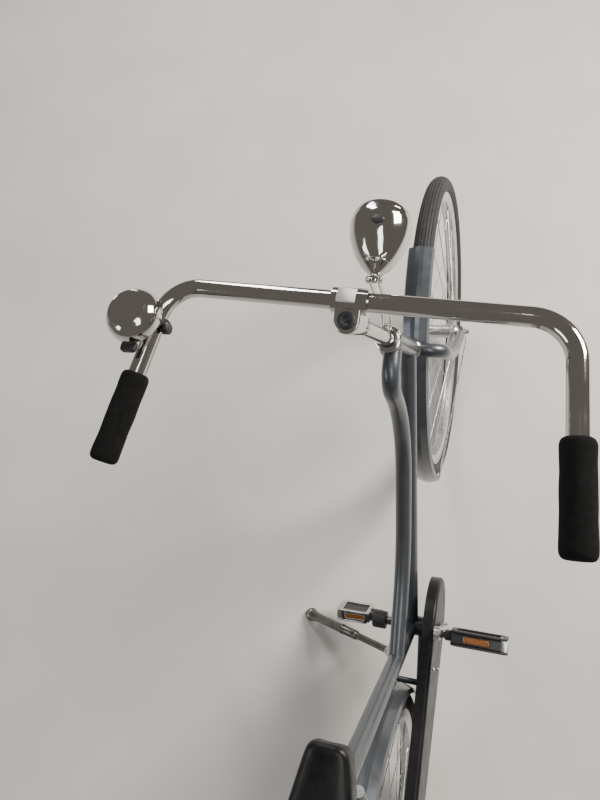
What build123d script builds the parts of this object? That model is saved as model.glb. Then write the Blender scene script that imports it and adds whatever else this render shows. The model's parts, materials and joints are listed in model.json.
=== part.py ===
from build123d import *
from math import atan2, cos, degrees, radians, sin, tan
import os

# A step-through city bicycle, parked on its side stand.
# It is drawn upright first: X forward, Y to the left, Z up, in millimetres, with the
# rear tyre's contact point at the origin. At the end the whole bicycle leans onto its
# stand and its origin moves to the middle of the floor under it.

# Wheels
rim_seat = 311.0                # radius of the bead seat, the 622 size
tyre_width = 39.0
rim_width = 25.0
rim_depth = 20.0
spoke_count = 36
spoke_radius = 1.0
axle_radius = 4.75
front_axle_reach = 70.0         # from the middle to the axle's end
rear_axle_reach = 78.0
running_gap = 0.05              # radial clearance of a shaft in its bearing
seat_gap = 0.2                  # clearance of pieces that are fastened together

# Frame
wheelbase = 1139.0
head_angle = 66.7               # degrees from the ground
fork_offset = 70.8
seat_angle = 65.3
bracket_ahead = 472.0           # bottom bracket from the rear axle
bracket_drop = 65.0             # bottom bracket below the axles
seat_tube_length = 560.0
tube_radius = 14.3              # the three main tubes
tube_wall = 1.3
head_tube_radius = 16.5
head_tube_bottom = 393.0        # along the steering axis, from the foot of the offset
head_tube_length = 182.0
steerer_radius = 12.7
rear_spacing = 116.0            # between the rear dropouts
front_spacing = 100.0
plate = 5.0                     # dropout thickness
belly_ahead = 102.0             # the upper tube's low bend, from the bottom bracket
belly_over = 201.0
belly_bend = 400.0
neck_behind = 68.4              # the upper tube's upright run, from its joint
neck_below = 165.0
neck_bend = 215.0
neck_top_bend = 36.0

# Steering
crown_drop = 23.0               # the fork's crown under the head tube
crown_bend = 30.0
leg_straight = 60.0             # of each fork leg under the crown
leg_taper = 50.0
knee_height = 200.0             # along the steering axis, where the legs bend ahead
knee_bend = 330.0
stem_top = 817.0                # along the steering axis
stem_reach = 23.0
quill_radius = 11.1
bar_radius = 11.1
bar_half_width = 234.7          # to the corner of the bend
bar_bend_radius = 48.0
bar_back = 119.0                # from the corner to the grip
bar_flare = 6.4                 # degrees
bar_fall = 7.1                  # degrees below level, towards the grips
bar_twist = -4.9                # degrees, the bar was clamped a little askew
grip_length = 114.0
grip_radius = 17.0

# Mudguards
guard_gap = 10.6                # over the tyre's tread
guard_width = 50.0
guard_wall = 1.4
front_guard_from = 93.0         # degrees about the axle, from straight ahead
front_guard_to = 196.0
rear_guard_from = -14.0
rear_guard_to = 196.0

# Drive
crank_length = 170.0
crank_angle = 94.4              # degrees, the right arm from straight ahead
arm_thickness = 12.0
right_arm_side = 70.7           # middle of the arm from the middle of the bicycle
left_arm_side = 68.4
arm_root = 11.0                 # half width of an arm at its boss and at its eye
arm_tip = 9.0
spindle_radius = 8.5
pedal_spindle_radius = 5.0
pedal_length = 92.0
pedal_depth = 64.0
pedal_height = 28.0
case_inner = 35.0               # the chain case's faces, from the bicycle's middle
case_outer = 58.6
case_front_radius = 104.0
case_rear_radius = 52.0
case_seam = 395.0               # where the front and rear halves meet

# Parking
lean_angle = 11.92
pivot_behind = 61.0             # the stand's pivot, from the bottom bracket
pivot_left = 42.5
pivot_below = 49.0
foot_ahead = 462.0
foot_left = 290.0               # of the leaned bicycle's ground line
leg_radius = 7.5
foot_radius = 16.0
foot_thickness = 10.0

# Saddle
nose_ahead = 111.9              # the saddle's nose, from the saddle clamp
nose_over = 35.9
saddle_length = 262.0
saddle_width = 205.0
seat_post_radius = 12.7
seat_post_out = 62.0            # from the seat tube to the saddle clamp

# Worked out from the sizes above
wheel_radius = rim_seat + tyre_width
tyre_radius = tyre_width / 2
tyre_middle = wheel_radius - tyre_radius
left = Vector(0, 1, 0)
up_axis = Vector(-cos(radians(head_angle)), 0, sin(radians(head_angle)))
ahead_axis = Vector(sin(radians(head_angle)), 0, cos(radians(head_angle)))
rear_axle_at = Vector(0, 0, wheel_radius)
front_axle_at = Vector(wheelbase, 0, wheel_radius)
axis_foot = front_axle_at - ahead_axis * fork_offset
bracket_at = Vector(bracket_ahead, 0, wheel_radius - bracket_drop)
seat_axis = Vector(-cos(radians(seat_angle)), 0, sin(radians(seat_angle)))
seat_top_at = bracket_at + seat_axis * seat_tube_length
saddle_clamp_at = seat_top_at + seat_axis * seat_post_out
saddle_nose = saddle_clamp_at + Vector(nose_ahead, 0, nose_over)
stand_pivot = bracket_at + Vector(-pivot_behind, pivot_left, -pivot_below)
head_tube_top = head_tube_bottom + head_tube_length
crown_height = head_tube_bottom - crown_drop
guard_radius = wheel_radius + guard_gap


def steering(height, ahead=0.0, to_left=0.0):
    """A point given along, ahead of and to the left of the steering axis."""
    return axis_foot + up_axis * height + ahead_axis * ahead + left * to_left


def across(point, y):
    """The same point of the bicycle's plane, moved sideways."""
    return Vector(point.X, y, point.Z)


def rod(start, end, radius, end_radius=None):
    """A round bar between two points, tapered where the end radius differs."""
    run = end - start
    with BuildPart() as bar:
        with BuildSketch(Plane(start, z_dir=run)):
            Circle(radius)
        if end_radius is None:
            extrude(amount=run.length)
        else:
            with BuildSketch(Plane(end, z_dir=run)):
                Circle(end_radius)
            loft()
    return bar.part


def tube(start, end, radius, bore):
    """A round tube between two points."""
    run = end - start
    with BuildPart() as pipe:
        with BuildSketch(Plane(start, z_dir=run)):
            Circle(radius)
            Circle(bore, mode=Mode.SUBTRACT)
        extrude(amount=run.length)
    return pipe.part


def bent_rod(points, bends, radius):
    """A round bar along straight runs; a bend is eased where its runs are short."""
    runs = [after - before for before, after in zip(points, points[1:])]
    turns = [radians(run.get_angle(after)) for run, after in zip(runs, runs[1:])]
    needs = [0] + [bend * tan(turn / 2) for bend, turn in zip(bends, turns)] + [0]
    room = [min(1, 0.98 * run.length / (before + after))
            for run, before, after in zip(runs, needs, needs[1:])]
    eased = [bend * min(pair) for bend, pair in zip(bends, zip(room, room[1:]))]
    with BuildPart() as bar:
        with BuildLine() as route:
            FilletPolyline(*points, radius=eased)
        with BuildSketch(Plane(route.line @ 0, z_dir=route.line % 0)):
            Circle(radius)
        sweep()
    return bar.part


def side_plane(point, y):
    """An upright plane along the bicycle, at the given distance left; it faces right."""
    return Plane(Vector(point.X, y, point.Z), x_dir=(1, 0, 0), z_dir=(0, -1, 0))


def section_plane(axle, angle):
    """A radial plane of a wheel: local X is to the left, local Y is outward."""
    turn = radians(angle)
    return Plane(axle, x_dir=(0, 1, 0), z_dir=(sin(turn), 0, -cos(turn)))


def about_axle(axle, radius, angle, y=0.0):
    """A point of a wheel, at an angle measured from straight ahead."""
    turn = radians(angle)
    return axle + Vector(radius * cos(turn), y, radius * sin(turn))


# Head tube and its bearings
cup_height = 8.0
cup_radius = head_tube_radius + 2.5
head_tube_core = rod(steering(head_tube_bottom), steering(head_tube_top), head_tube_radius)
with BuildPart() as head_tube:
    add(tube(steering(head_tube_bottom), steering(head_tube_top), head_tube_radius,
             head_tube_radius - 2.2))

with BuildPart() as headset_cups:
    for seat, way in ((head_tube_bottom, -1), (head_tube_top, 1)):
        near = steering(seat + way * seat_gap)
        far = steering(seat + way * cup_height)
        add(tube(near, far, cup_radius, steerer_radius + running_gap))

# Main tubes: a swan-neck upper tube, a straight down tube and the seat tube
down_tube_joint = 418.0         # along the steering axis
upper_tube_joint = 550.0
upper_tube_seat = 168.0         # up the seat tube from the bottom bracket
shell_half_width = 34.0
shell_radius = 20.0
shell_core = rod(across(bracket_at, -shell_half_width - 1),
                 across(bracket_at, shell_half_width + 1), shell_radius)
seat_tube_core = rod(bracket_at, seat_top_at, tube_radius)
with BuildPart() as seat_tube:
    add(tube(bracket_at, seat_top_at, tube_radius, tube_radius - tube_wall))
    add(shell_core, mode=Mode.SUBTRACT)

with BuildPart() as down_tube:
    add(rod(bracket_at, steering(down_tube_joint), tube_radius))
    add(shell_core, mode=Mode.SUBTRACT)
    add(head_tube_core, mode=Mode.SUBTRACT)
    add(seat_tube_core, mode=Mode.SUBTRACT)

upper_end = steering(upper_tube_joint)
upper_route = (
    bracket_at + seat_axis * upper_tube_seat,
    bracket_at + Vector(belly_ahead, 0, belly_over),
    upper_end + Vector(-neck_behind, 0, -neck_below),
    upper_end + Vector(-neck_behind, 0, -10),
    upper_end,
)
with BuildPart() as upper_tube:
    add(bent_rod(upper_route, (belly_bend, neck_bend, neck_top_bend), tube_radius))
    add(head_tube_core, mode=Mode.SUBTRACT)
    add(seat_tube_core, mode=Mode.SUBTRACT)

with BuildPart() as bottom_bracket:
    add(tube(across(bracket_at, -shell_half_width), across(bracket_at, shell_half_width),
             shell_radius, spindle_radius + running_gap))

# Stays and dropouts
drop_middle = rear_spacing / 2 + plate / 2
stay_tip = 24.0                 # a stay ends this far from the axle
chain_start = bracket_at + Vector(-12, 0, 0)
seat_start = seat_top_at - seat_axis * 22.0
chain_start_side = 25.0
seat_start_side = 22.0


def chain_stay(side, extra=0.0):
    """One chain stay, from the bottom bracket to its dropout."""
    first = across(chain_start, side * chain_start_side)
    axle = across(rear_axle_at, side * drop_middle)
    last = axle + (first - axle).normalized() * stay_tip
    return rod(first, last, 9.0 + extra, 7.0 + extra)


def seat_stay(side, extra=0.0):
    """One seat stay, from the top of the seat tube to its dropout."""
    first = across(seat_start, side * seat_start_side)
    axle = across(rear_axle_at, side * drop_middle)
    last = axle + (first - axle).normalized() * stay_tip
    return rod(first, last, 7.5 + extra, 6.5 + extra)


chain_stay_angle = degrees(atan2(-bracket_drop, bracket_ahead))
seat_stay_angle = degrees(atan2(seat_start.Z - wheel_radius, seat_start.X))
bridge_radius = 6.0
bridge_at = guard_radius + guard_wall + bridge_radius + seat_gap
with BuildPart() as chainstays:
    for side in (-1, 1):
        add(chain_stay(side))
    bridge = about_axle(rear_axle_at, bridge_at, chain_stay_angle)
    add(rod(across(bridge, -30), across(bridge, 30), bridge_radius))
    add(shell_core, mode=Mode.SUBTRACT)

with BuildPart() as seatstays:
    for side in (-1, 1):
        add(seat_stay(side))
    bridge = about_axle(rear_axle_at, bridge_at, seat_stay_angle)
    add(rod(across(bridge, -30), across(bridge, 30), bridge_radius))
    add(seat_tube_core, mode=Mode.SUBTRACT)

with BuildPart() as dropouts:
    for side in (-1, 1):
        with BuildSketch(side_plane(rear_axle_at, side * rear_spacing / 2)):
            Circle(15.0)
            for turn in (chain_stay_angle, seat_stay_angle):
                Rectangle(34, 13, rotation=turn, align=(Align.MIN, Align.CENTER))
            Circle(axle_radius + seat_gap, mode=Mode.SUBTRACT)
        extrude(amount=-side * plate)
        add(chain_stay(side), mode=Mode.SUBTRACT)
        add(seat_stay(side), mode=Mode.SUBTRACT)

# Wheels: tyre, rim, spokes and hub turn together about an axle that stays in the frame
flange_half = 1.6
spoke_inset = 4.0
hub_sizes = {                   # end: half length, flange place, flange and barrel radius
    "front": (front_spacing / 2 - 6.0, 33.0, 24.0, 15.0),
    "rear": (rear_spacing / 2 - 6.0, 27.0, 36.0, 25.0),
}


def spun(axle, outline):
    """A ring turned about a wheel's axle, from (left, outward) points of its section."""
    with BuildPart() as ring:
        with BuildSketch(section_plane(axle, 90)):
            with BuildLine():
                Polyline(*outline, close=True)
            make_face()
        revolve(axis=Axis(axle, (0, 1, 0)))
    return ring.part


def tyre(axle):
    """An open tyre casing with its beads in the rim."""
    flange_tip = rim_seat + 6.0
    bead = rim_width / 2 - 2.2
    with BuildPart() as casing:
        with BuildSketch(section_plane(axle, 90)):
            with Locations((0, tyre_middle)):
                Circle(tyre_radius)
            with Locations((0, flange_tip + seat_gap)):
                Rectangle(2 * tyre_width, 2 * tyre_width, align=(Align.CENTER, Align.MAX),
                          mode=Mode.SUBTRACT)
            with Locations((0, rim_seat + seat_gap)):
                Rectangle(2 * bead, 8.0, align=(Align.CENTER, Align.MIN))
            with Locations((0, tyre_middle)):
                Circle(tyre_radius - 3.2, mode=Mode.SUBTRACT)
            with Locations((0, rim_seat)):
                Rectangle(2 * bead - 5.0, 16.0, align=(Align.CENTER, Align.MIN),
                          mode=Mode.SUBTRACT)
        revolve(axis=Axis(axle, (0, 1, 0)))
    return casing.part


def rim(axle):
    """A double-walled rim with hooked flanges."""
    half = rim_width / 2
    tip = rim_seat + 6.0
    foot = tip - rim_depth
    outline = [
        (-half, tip), (-half, foot + 6), (-half + 4.5, foot), (half - 4.5, foot),
        (half, foot + 6), (half, tip), (half - 2, tip), (half - 2, rim_seat - 1),
        (-half + 2, rim_seat - 1), (-half + 2, tip),
    ]
    return spun(axle, outline)


def hub(axle, end):
    """A hub shell with two spoke flanges, bored for its axle."""
    bore = axle_radius + running_gap
    side, flange, flange_radius, barrel = hub_sizes[end]
    outline = [(-side, bore), (-side, barrel - 3), (-flange - 5, barrel)]
    for way in (-1, 1):
        low = way * flange - flange_half
        high = way * flange + flange_half
        outline += [(low, barrel), (low, flange_radius), (high, flange_radius), (high, barrel)]
    outline += [(flange + 5, barrel), (side, barrel - 3), (side, bore)]
    return spun(axle, outline)


def spokes(axle, end):
    """Crossed spokes: each flange sends half of its own forwards and half backwards."""
    flange, flange_radius = hub_sizes[end][1:3]
    rim_foot = rim_seat + 6.0 - rim_depth - 0.4
    with BuildPart() as lacing:
        for index in range(spoke_count):
            side = 1 if index % 2 else -1
            trailing = (index // 2) % 2
            swing = (1 if trailing else -1) * 2 * 360.0 / spoke_count * 2.6
            face = flange_half + spoke_radius + seat_gap
            hub_y = side * (flange + (face + 1.6 if trailing else -face))
            at_rim = index * 360.0 / spoke_count
            start = about_axle(axle, flange_radius - spoke_inset, at_rim + swing, hub_y)
            finish = about_axle(axle, rim_foot, at_rim, side * 3.0)
            add(rod(start, finish, spoke_radius))
    return lacing.part


def axle_set(axle, spacing, reach):
    """An axle with its lock cones inside the dropouts and nuts outside them."""
    inner = spacing / 2
    nut_from = inner + plate + seat_gap
    with BuildPart() as spindle:
        add(rod(across(axle, -reach), across(axle, reach), axle_radius))
        for side in (-1, 1):
            add(rod(across(axle, side * (inner - 5.5)), across(axle, side * (inner - seat_gap)),
                    8.0))
            with BuildSketch(side_plane(axle, side * nut_from)):
                RegularPolygon(radius=8.6, side_count=6)
            extrude(amount=-side * 8.0)
    return spindle.part


# Fork: a steerer and two curved legs that bend forward to the dropouts
leg_side = front_spacing / 2 + plate / 2 + 1.0
leg_top_radius = 13.0
leg_bend_radius = 10.5
with BuildPart() as fork:
    add(rod(steering(crown_height), steering(head_tube_top + cup_height + 14.0),
            steerer_radius))
    add(rod(steering(crown_height + 8), steering(head_tube_bottom - cup_height - seat_gap),
            16.5))
    crown_at = steering(crown_height)
    inward = (front_axle_at - crown_at).normalized()
    guard_top = front_axle_at - inward * (guard_radius + guard_wall + seat_gap)
    add(rod(crown_at, guard_top, 7.0))
    for side in (-1, 1):
        shoulder = steering(crown_height, 0, side * leg_side)
        taper_from = shoulder - up_axis * leg_straight
        taper_to = taper_from - up_axis * leg_taper
        knee = steering(knee_height, 0, side * leg_side)
        tip = steering(22.0, fork_offset - 9.0, side * leg_side)
        add(bent_rod((steering(crown_height), shoulder, taper_from), (crown_bend,),
                     leg_top_radius))
        add(rod(taper_from, taper_to, leg_top_radius, leg_bend_radius))
        add(bent_rod((taper_to, knee, tip), (knee_bend,), leg_bend_radius))
        with BuildSketch(side_plane(front_axle_at, side * front_spacing / 2)):
            Circle(13.0)
            turn = degrees(atan2(tip.Z - wheel_radius, tip.X - front_axle_at.X))
            Rectangle(36, 16, rotation=turn, align=(Align.MIN, Align.CENTER))
            Circle(axle_radius + seat_gap, mode=Mode.SUBTRACT)
        extrude(amount=-side * plate)
    add(rod(steering(head_tube_bottom + 10), steering(stem_top), quill_radius + seat_gap),
        mode=Mode.SUBTRACT)

with BuildPart() as locknut:
    with BuildSketch(Plane(steering(head_tube_top + cup_height + seat_gap), z_dir=up_axis)):
        RegularPolygon(radius=20.0, side_count=8)
        Circle(steerer_radius + seat_gap, mode=Mode.SUBTRACT)
    extrude(amount=12.0)

# Stem and handlebar, both turned a little in the steerer
twist = radians(bar_twist)
bar_ahead = ahead_axis * cos(twist) + left * sin(twist)
bar_left = left * cos(twist) - ahead_axis * sin(twist)
clamp_at = steering(stem_top) + bar_ahead * stem_reach
clamp_half = 21.0
bar_core = rod(clamp_at - bar_left * 90, clamp_at + bar_left * 90, bar_radius + seat_gap)
with BuildPart() as stem:
    add(rod(steering(stem_top - 330.0), steering(stem_top + 8.0), quill_radius))
    add(rod(steering(stem_top - 24.0), steering(stem_top + 6.0), quill_radius + 2.5))
    add(rod(clamp_at - bar_left * clamp_half, clamp_at + bar_left * clamp_half,
            bar_radius + 4.0))
    add(rod(steering(stem_top), clamp_at, 11.0))
    add(bar_core, mode=Mode.SUBTRACT)

fall = radians(bar_fall)
flare = radians(bar_flare)
level_back = Vector(-cos(fall), 0, -sin(fall))


def bar_point(side, beyond):
    """A point on the handlebar's rear run, beyond the corner of its bend."""
    straight = level_back * cos(flare) + left * (side * sin(flare))
    spot = steering(stem_top, stem_reach, side * bar_half_width) + straight * beyond
    return axis_foot + (spot - axis_foot).rotate(Axis((0, 0, 0), up_axis), bar_twist)


bar_end = bar_back + grip_length - 4.0
with BuildPart() as handlebar:
    route = (bar_point(1, bar_end), bar_point(1, 0), bar_point(-1, 0), bar_point(-1, bar_end))
    add(bent_rod(route, (bar_bend_radius, bar_bend_radius), bar_radius))


def grip(side):
    """A foam grip with a closed, rounded end."""
    start = bar_point(side, bar_back)
    end = bar_point(side, bar_back + grip_length)
    with BuildPart() as sleeve:
        add(rod(start, end, grip_radius))
        fillet(sleeve.edges().filter_by(GeomType.CIRCLE), 4.0)
        add(rod(start + (start - end), bar_point(side, bar_end + 0.5), bar_radius + seat_gap),
            mode=Mode.SUBTRACT)
    return sleeve.part


# Chrome bell beside the left run, with its thumb lever
bell_radius = 30.0
bell_spot = bar_point(1, 52.0)
bell_way = (bar_point(1, bar_back) - bar_point(1, 0)).normalized()
bell_at = bell_spot + Vector(0, 12.0, bar_radius + 11.0)
with BuildPart() as bell_base:
    add(tube(bell_spot - bell_way * 7, bell_spot + bell_way * 7, bar_radius + 4.0,
             bar_radius + seat_gap))
    add(rod(bell_at - Vector(0, 0, 9.0), bell_at - Vector(0, 0, 1.0), 8.0))
    add(rod(bell_at - Vector(0, 0, 1.5), bell_at + Vector(0, 0, 2.0), bell_radius - 4.0))
    add(rod(bell_spot - bell_way * 40, bell_spot + bell_way * 40, bar_radius + seat_gap),
        mode=Mode.SUBTRACT)

with BuildPart() as bell_dome:
    with BuildSketch(Plane(bell_at + Vector(0, 0, 2.3), x_dir=(0, 1, 0), z_dir=(1, 0, 0))):
        with BuildLine():
            Line((0, 0), (bell_radius, 0))
            Line((bell_radius, 0), (bell_radius, 3))
            ThreePointArc((bell_radius, 3), (bell_radius - 2.5, 10.5), (bell_radius - 8, 15))
            Line((bell_radius - 8, 15), (0, 16))
            Line((0, 16), (0, 0))
        make_face()
    revolve(axis=Axis(bell_at, (0, 0, 1)))

# Headlamp on a bracket from the headset
lamp_radius = 37.5
lamp_ahead = 105.0
lamp_below = 134.0
lamp_at = steering(stem_top - lamp_below, stem_reach + lamp_ahead)
lamp_way = (ahead_axis * 0.95 - up_axis * 0.31).normalized()
lamp_front = lamp_at + lamp_way * 34.0
with BuildPart() as lamp_shell:
    with BuildSketch(Plane(lamp_front, z_dir=lamp_way)):
        Circle(lamp_radius)
    with BuildSketch(Plane(lamp_front - lamp_way * 28.0, z_dir=lamp_way)):
        Circle(lamp_radius - 1.5)
    loft()
    add(rod(lamp_front - lamp_way * 28.0, lamp_front - lamp_way * 66.0, lamp_radius - 1.5,
            lamp_radius - 13))
    add(rod(lamp_front - lamp_way * 66.0, lamp_front - lamp_way * 100.0, lamp_radius - 13,
            6.0))
    add(rod(lamp_front - lamp_way * 8.0, lamp_front + lamp_way * 1.0, lamp_radius - 3.0),
        mode=Mode.SUBTRACT)

with BuildPart() as lamp_lens:
    add(rod(lamp_front - lamp_way * 7.7, lamp_front + lamp_way * 2.0, lamp_radius - 3.2))

with BuildPart() as lamp_bracket:
    add(rod(steering(head_tube_top + cup_height + 12.5), steering(head_tube_top + cup_height
        + 15.0), 20.0))
    add(rod(steering(head_tube_top + cup_height + 20.5, 14.0), lamp_at, 6.0))
    add(rod(steering(head_tube_top), steering(stem_top), steerer_radius + 0.5),
        mode=Mode.SUBTRACT)
    add(lamp_shell.part, mode=Mode.SUBTRACT)


# Mudguards: a faceted, ridged section turned about the axle
guard_section = (               # half width and depth under the ridge
    (guard_width / 2, 15.0),
    (guard_width / 2 - 3.0, 6.5),
    (8.0, 1.6),
)


def mudguard(axle, start, end):
    """A mudguard from one angle to another about its axle."""
    outside = guard_radius + guard_wall
    outer = [(half, outside - depth) for half, depth in guard_section]
    inner = [(half - guard_wall, outside - depth - guard_wall * 0.6)
             for half, depth in guard_section]
    inner[0] = (guard_section[0][0] - guard_wall, outside - guard_section[0][1])
    ridge = [(0, outside)]
    hollow = [(0, guard_radius)]
    outline = outer + ridge + [(-half, radius) for half, radius in reversed(outer)]
    outline += [(-half, radius) for half, radius in inner] + hollow + inner[::-1]
    with BuildPart() as sheet:
        with BuildSketch(section_plane(axle, start)):
            with BuildLine():
                Polyline(*outline, close=True)
            make_face()
        revolve(axis=Axis(axle, (0, -1, 0)), revolution_arc=end - start)
    return sheet.part


def guard_stays(axle, angle, spacing):
    """Wire stays from both sides of an axle to the edges of its mudguard."""
    edge = guard_width / 2 + 2.0 + seat_gap
    nut = spacing / 2 + plate + 10.5
    with BuildPart() as wires:
        for side in (-1, 1):
            eye = about_axle(axle, 14.0, angle, side * nut)
            hook = about_axle(axle, guard_radius - 9.0, angle, side * edge)
            add(rod(eye, hook, 2.0))
    return wires.part


# Chain case around the drive, on the right
case_middle = rear_axle_at + (bracket_at - rear_axle_at) * 0.5
with BuildPart() as chain_case:
    with BuildSketch(side_plane(rear_axle_at, -case_inner)) as case_outline:
        with BuildLine():
            way = bracket_at - rear_axle_at
            span = Vector(way.X, way.Z)
            slope = degrees(atan2(way.Z, way.X))
            spread = case_front_radius - case_rear_radius
            tilt = degrees(atan2(spread, span.length))
            rear_top = Vector(case_rear_radius, 0).rotate(Axis.Z, 90 + slope + tilt)
            rear_low = Vector(case_rear_radius, 0).rotate(Axis.Z, -90 + slope - tilt)
            front_top = span + Vector(case_front_radius, 0).rotate(Axis.Z, 90 + slope + tilt)
            front_low = span + Vector(case_front_radius, 0).rotate(Axis.Z, -90 + slope - tilt)
            rear_end = Vector(-case_rear_radius, 0).rotate(Axis.Z, slope)
            front_end = span + Vector(case_front_radius, 0).rotate(Axis.Z, slope)
            Line(rear_low, front_low)
            ThreePointArc(front_low, front_end, front_top)
            Line(front_top, rear_top)
            ThreePointArc(rear_top, rear_end, rear_low)
        make_face()
    extrude(amount=case_outer - case_inner)
    fillet(chain_case.faces().sort_by(Axis.Y)[0].edges(), 7.0)
    add(rod(across(bracket_at, 0), across(bracket_at, -100), spindle_radius + 5.5),
        mode=Mode.SUBTRACT)
    add(rod(across(rear_axle_at, 0), across(rear_axle_at, -100), 31.0), mode=Mode.SUBTRACT)
    add(chain_stay(-1, 1.0), mode=Mode.SUBTRACT)
    add(seat_stay(-1, 1.0), mode=Mode.SUBTRACT)

seam_gap = 0.3
with BuildPart() as chain_case_front:
    add(chain_case.part)
    split(bisect_by=Plane((case_seam + seam_gap, 0, 0), z_dir=(1, 0, 0)), keep=Keep.TOP)

with BuildPart() as chain_case_rear:
    add(chain_case.part)
    split(bisect_by=Plane((case_seam, 0, 0), z_dir=(1, 0, 0)), keep=Keep.BOTTOM)

# Cranks: the right arm points up, the left arm down
arm_way = Vector(cos(radians(crank_angle)), 0, sin(radians(crank_angle)))
right_eye = across(bracket_at + arm_way * crank_length, -right_arm_side)
left_eye = across(bracket_at - arm_way * crank_length, left_arm_side)
boss_radius = 16.0
eye_radius = 12.0


def crank_arm(side, middle, eye):
    """A tapering arm with a boss at the spindle and an eye for the pedal."""
    inner = middle - arm_thickness / 2
    turn = degrees(atan2(eye.Z - bracket_at.Z, eye.X - bracket_at.X))
    with BuildPart() as arm:
        with BuildSketch(side_plane(bracket_at, side * inner)):
            Circle(boss_radius)
            with Locations((eye.X - bracket_at.X, eye.Z - bracket_at.Z)):
                Circle(eye_radius)
            with BuildLine(Plane.XY.rotated((0, 0, turn))):
                Polyline((0, -arm_root), (crank_length, -arm_tip), (crank_length, arm_tip),
                         (0, arm_root), close=True)
            make_face()
        extrude(amount=-side * arm_thickness)
        chamfer(arm.faces().sort_by(Axis.Y)[-1 if side > 0 else 0].edges(), 2.0)
        add(rod(across(eye, 0), across(eye, side * 120), 7.0 + running_gap),
            mode=Mode.SUBTRACT)
        add(rod(across(bracket_at, 0), across(bracket_at, side * (inner + arm_thickness - 3)),
                spindle_radius + running_gap), mode=Mode.SUBTRACT)
    return arm.part


with BuildPart() as crank_spindle:
    add(rod(across(bracket_at, -right_arm_side - arm_thickness / 2 + 3.2),
            across(bracket_at, left_arm_side + arm_thickness / 2 - 3.2), spindle_radius))

# Pedals hang upright on spindles that are screwed into the arms
pedal_gap = 7.0
pedal_bearing = pedal_spindle_radius + running_gap
with BuildPart() as pedal_spindles:
    for side, middle, eye in ((-1, right_arm_side, right_eye), (1, left_arm_side, left_eye)):
        outer = middle + arm_thickness / 2
        add(rod(across(eye, side * (middle - arm_thickness / 2)),
                across(eye, side * (outer + 4.0)), 7.0))
        add(rod(across(eye, side * outer), across(eye, side * (outer + pedal_gap
                                                              + pedal_length - 4.0)),
                pedal_spindle_radius))


def pedal_plane(side, eye, middle, beyond):
    """A plane across a pedal, its local Y up along the pedal's tread."""
    return side_plane(eye, side * (middle + arm_thickness / 2 + pedal_gap + beyond))


def pedal_body(side, middle, eye):
    """The black barrel and the two tread blocks that stand beside it."""
    with BuildPart() as body:
        with BuildSketch(pedal_plane(side, eye, middle, 0)):
            Circle(12.0)
        extrude(amount=-side * pedal_length)
        for beyond in (6.0, pedal_length - 14.0):
            with BuildSketch(pedal_plane(side, eye, middle, beyond)):
                Rectangle(16.0, pedal_depth - 8.0)
            extrude(amount=-side * 8.0)
        for up in (-1, 1):
            with BuildSketch(pedal_plane(side, eye, middle, 6.0)):
                with Locations((0, up * (pedal_depth / 2 - 8.0))):
                    Rectangle(16.0, 8.0)
            extrude(amount=-side * (pedal_length - 14.0))
        add(rod(across(eye, 0), across(eye, side * (middle + arm_thickness / 2 + pedal_gap
                                                    + pedal_length - 3.5)), pedal_bearing),
            mode=Mode.SUBTRACT)
    return body.part


def pedal_cage(side, middle, eye):
    """Two aluminium cage strips along the tread."""
    with BuildPart() as cage:
        for ahead in (-1, 1):
            with BuildSketch(pedal_plane(side, eye, middle, 4.0)):
                with Locations((ahead * (pedal_height / 2 - 2.0), 0)):
                    Rectangle(3.0, pedal_depth)
            extrude(amount=-side * (pedal_length - 8.0))
        add(pedal_body(side, middle, eye), mode=Mode.SUBTRACT)
    return cage.part


# Side stand under the left chain stay
lean = radians(lean_angle)
lift = tyre_radius * (1 - cos(lean))


def standing(x, y, z):
    """The upright bicycle's point that ends at this place once it leans on its stand."""
    low = z - lift
    return Vector(x, y * cos(lean) - low * sin(lean), y * sin(lean) + low * cos(lean))


floor_up = standing(0, 0, 1) - standing(0, 0, 0)
foot_at = standing(foot_ahead, foot_left, 0)
leg_end = foot_at + floor_up * foot_thickness
with BuildPart() as stand_foot:
    add(rod(foot_at, leg_end, foot_radius, foot_radius - 2.0))

# The leg turns about an oblique pin, so that it folds back under the chain stay
folded_way = Vector(-0.995, -0.02, 0.1).normalized()
fold_axis = (leg_end - stand_pivot).cross(folded_way).normalized()
boss_half = 8.0
pin_radius = 4.0
with BuildPart() as stand_leg:
    add(rod(stand_pivot, leg_end + (stand_pivot - leg_end).normalized() * 4.0, leg_radius))
    add(rod(stand_pivot - fold_axis * boss_half, stand_pivot + fold_axis * boss_half, 9.5))
    add(rod(foot_at, leg_end + floor_up * seat_gap, foot_radius + 8), mode=Mode.SUBTRACT)
    add(rod(stand_pivot - fold_axis * 20, stand_pivot + fold_axis * 20,
            pin_radius + running_gap), mode=Mode.SUBTRACT)

stay_way = (across(rear_axle_at, drop_middle) - across(chain_start, chain_start_side)).normalized()
stay_spot = across(chain_start, chain_start_side) + stay_way * 47.0
boss_end = stand_pivot + fold_axis * (boss_half + seat_gap)
with BuildPart() as stand_bracket:
    add(rod(stay_spot - stay_way * 13, stay_spot + stay_way * 13, 14.0))
    add(rod(boss_end + fold_axis * 3.0, stay_spot, 8.0))
    add(rod(boss_end, boss_end + fold_axis * 5.0, 8.5))
    add(rod(stand_pivot, boss_end, 14.0), mode=Mode.SUBTRACT)
    add(rod(stand_pivot - fold_axis * (boss_half + 0.5), boss_end + fold_axis * 3.0, pin_radius))
    add(rod(stand_pivot - fold_axis * (boss_half + 3.5), stand_pivot - fold_axis * (boss_half
            + seat_gap), 7.0))
    add(chain_stay(1, 0.1), mode=Mode.SUBTRACT)

# Seat post, saddle and its frame
with BuildPart() as seat_post:
    add(rod(seat_top_at - seat_axis * 90.0, saddle_clamp_at, seat_post_radius))

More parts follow.
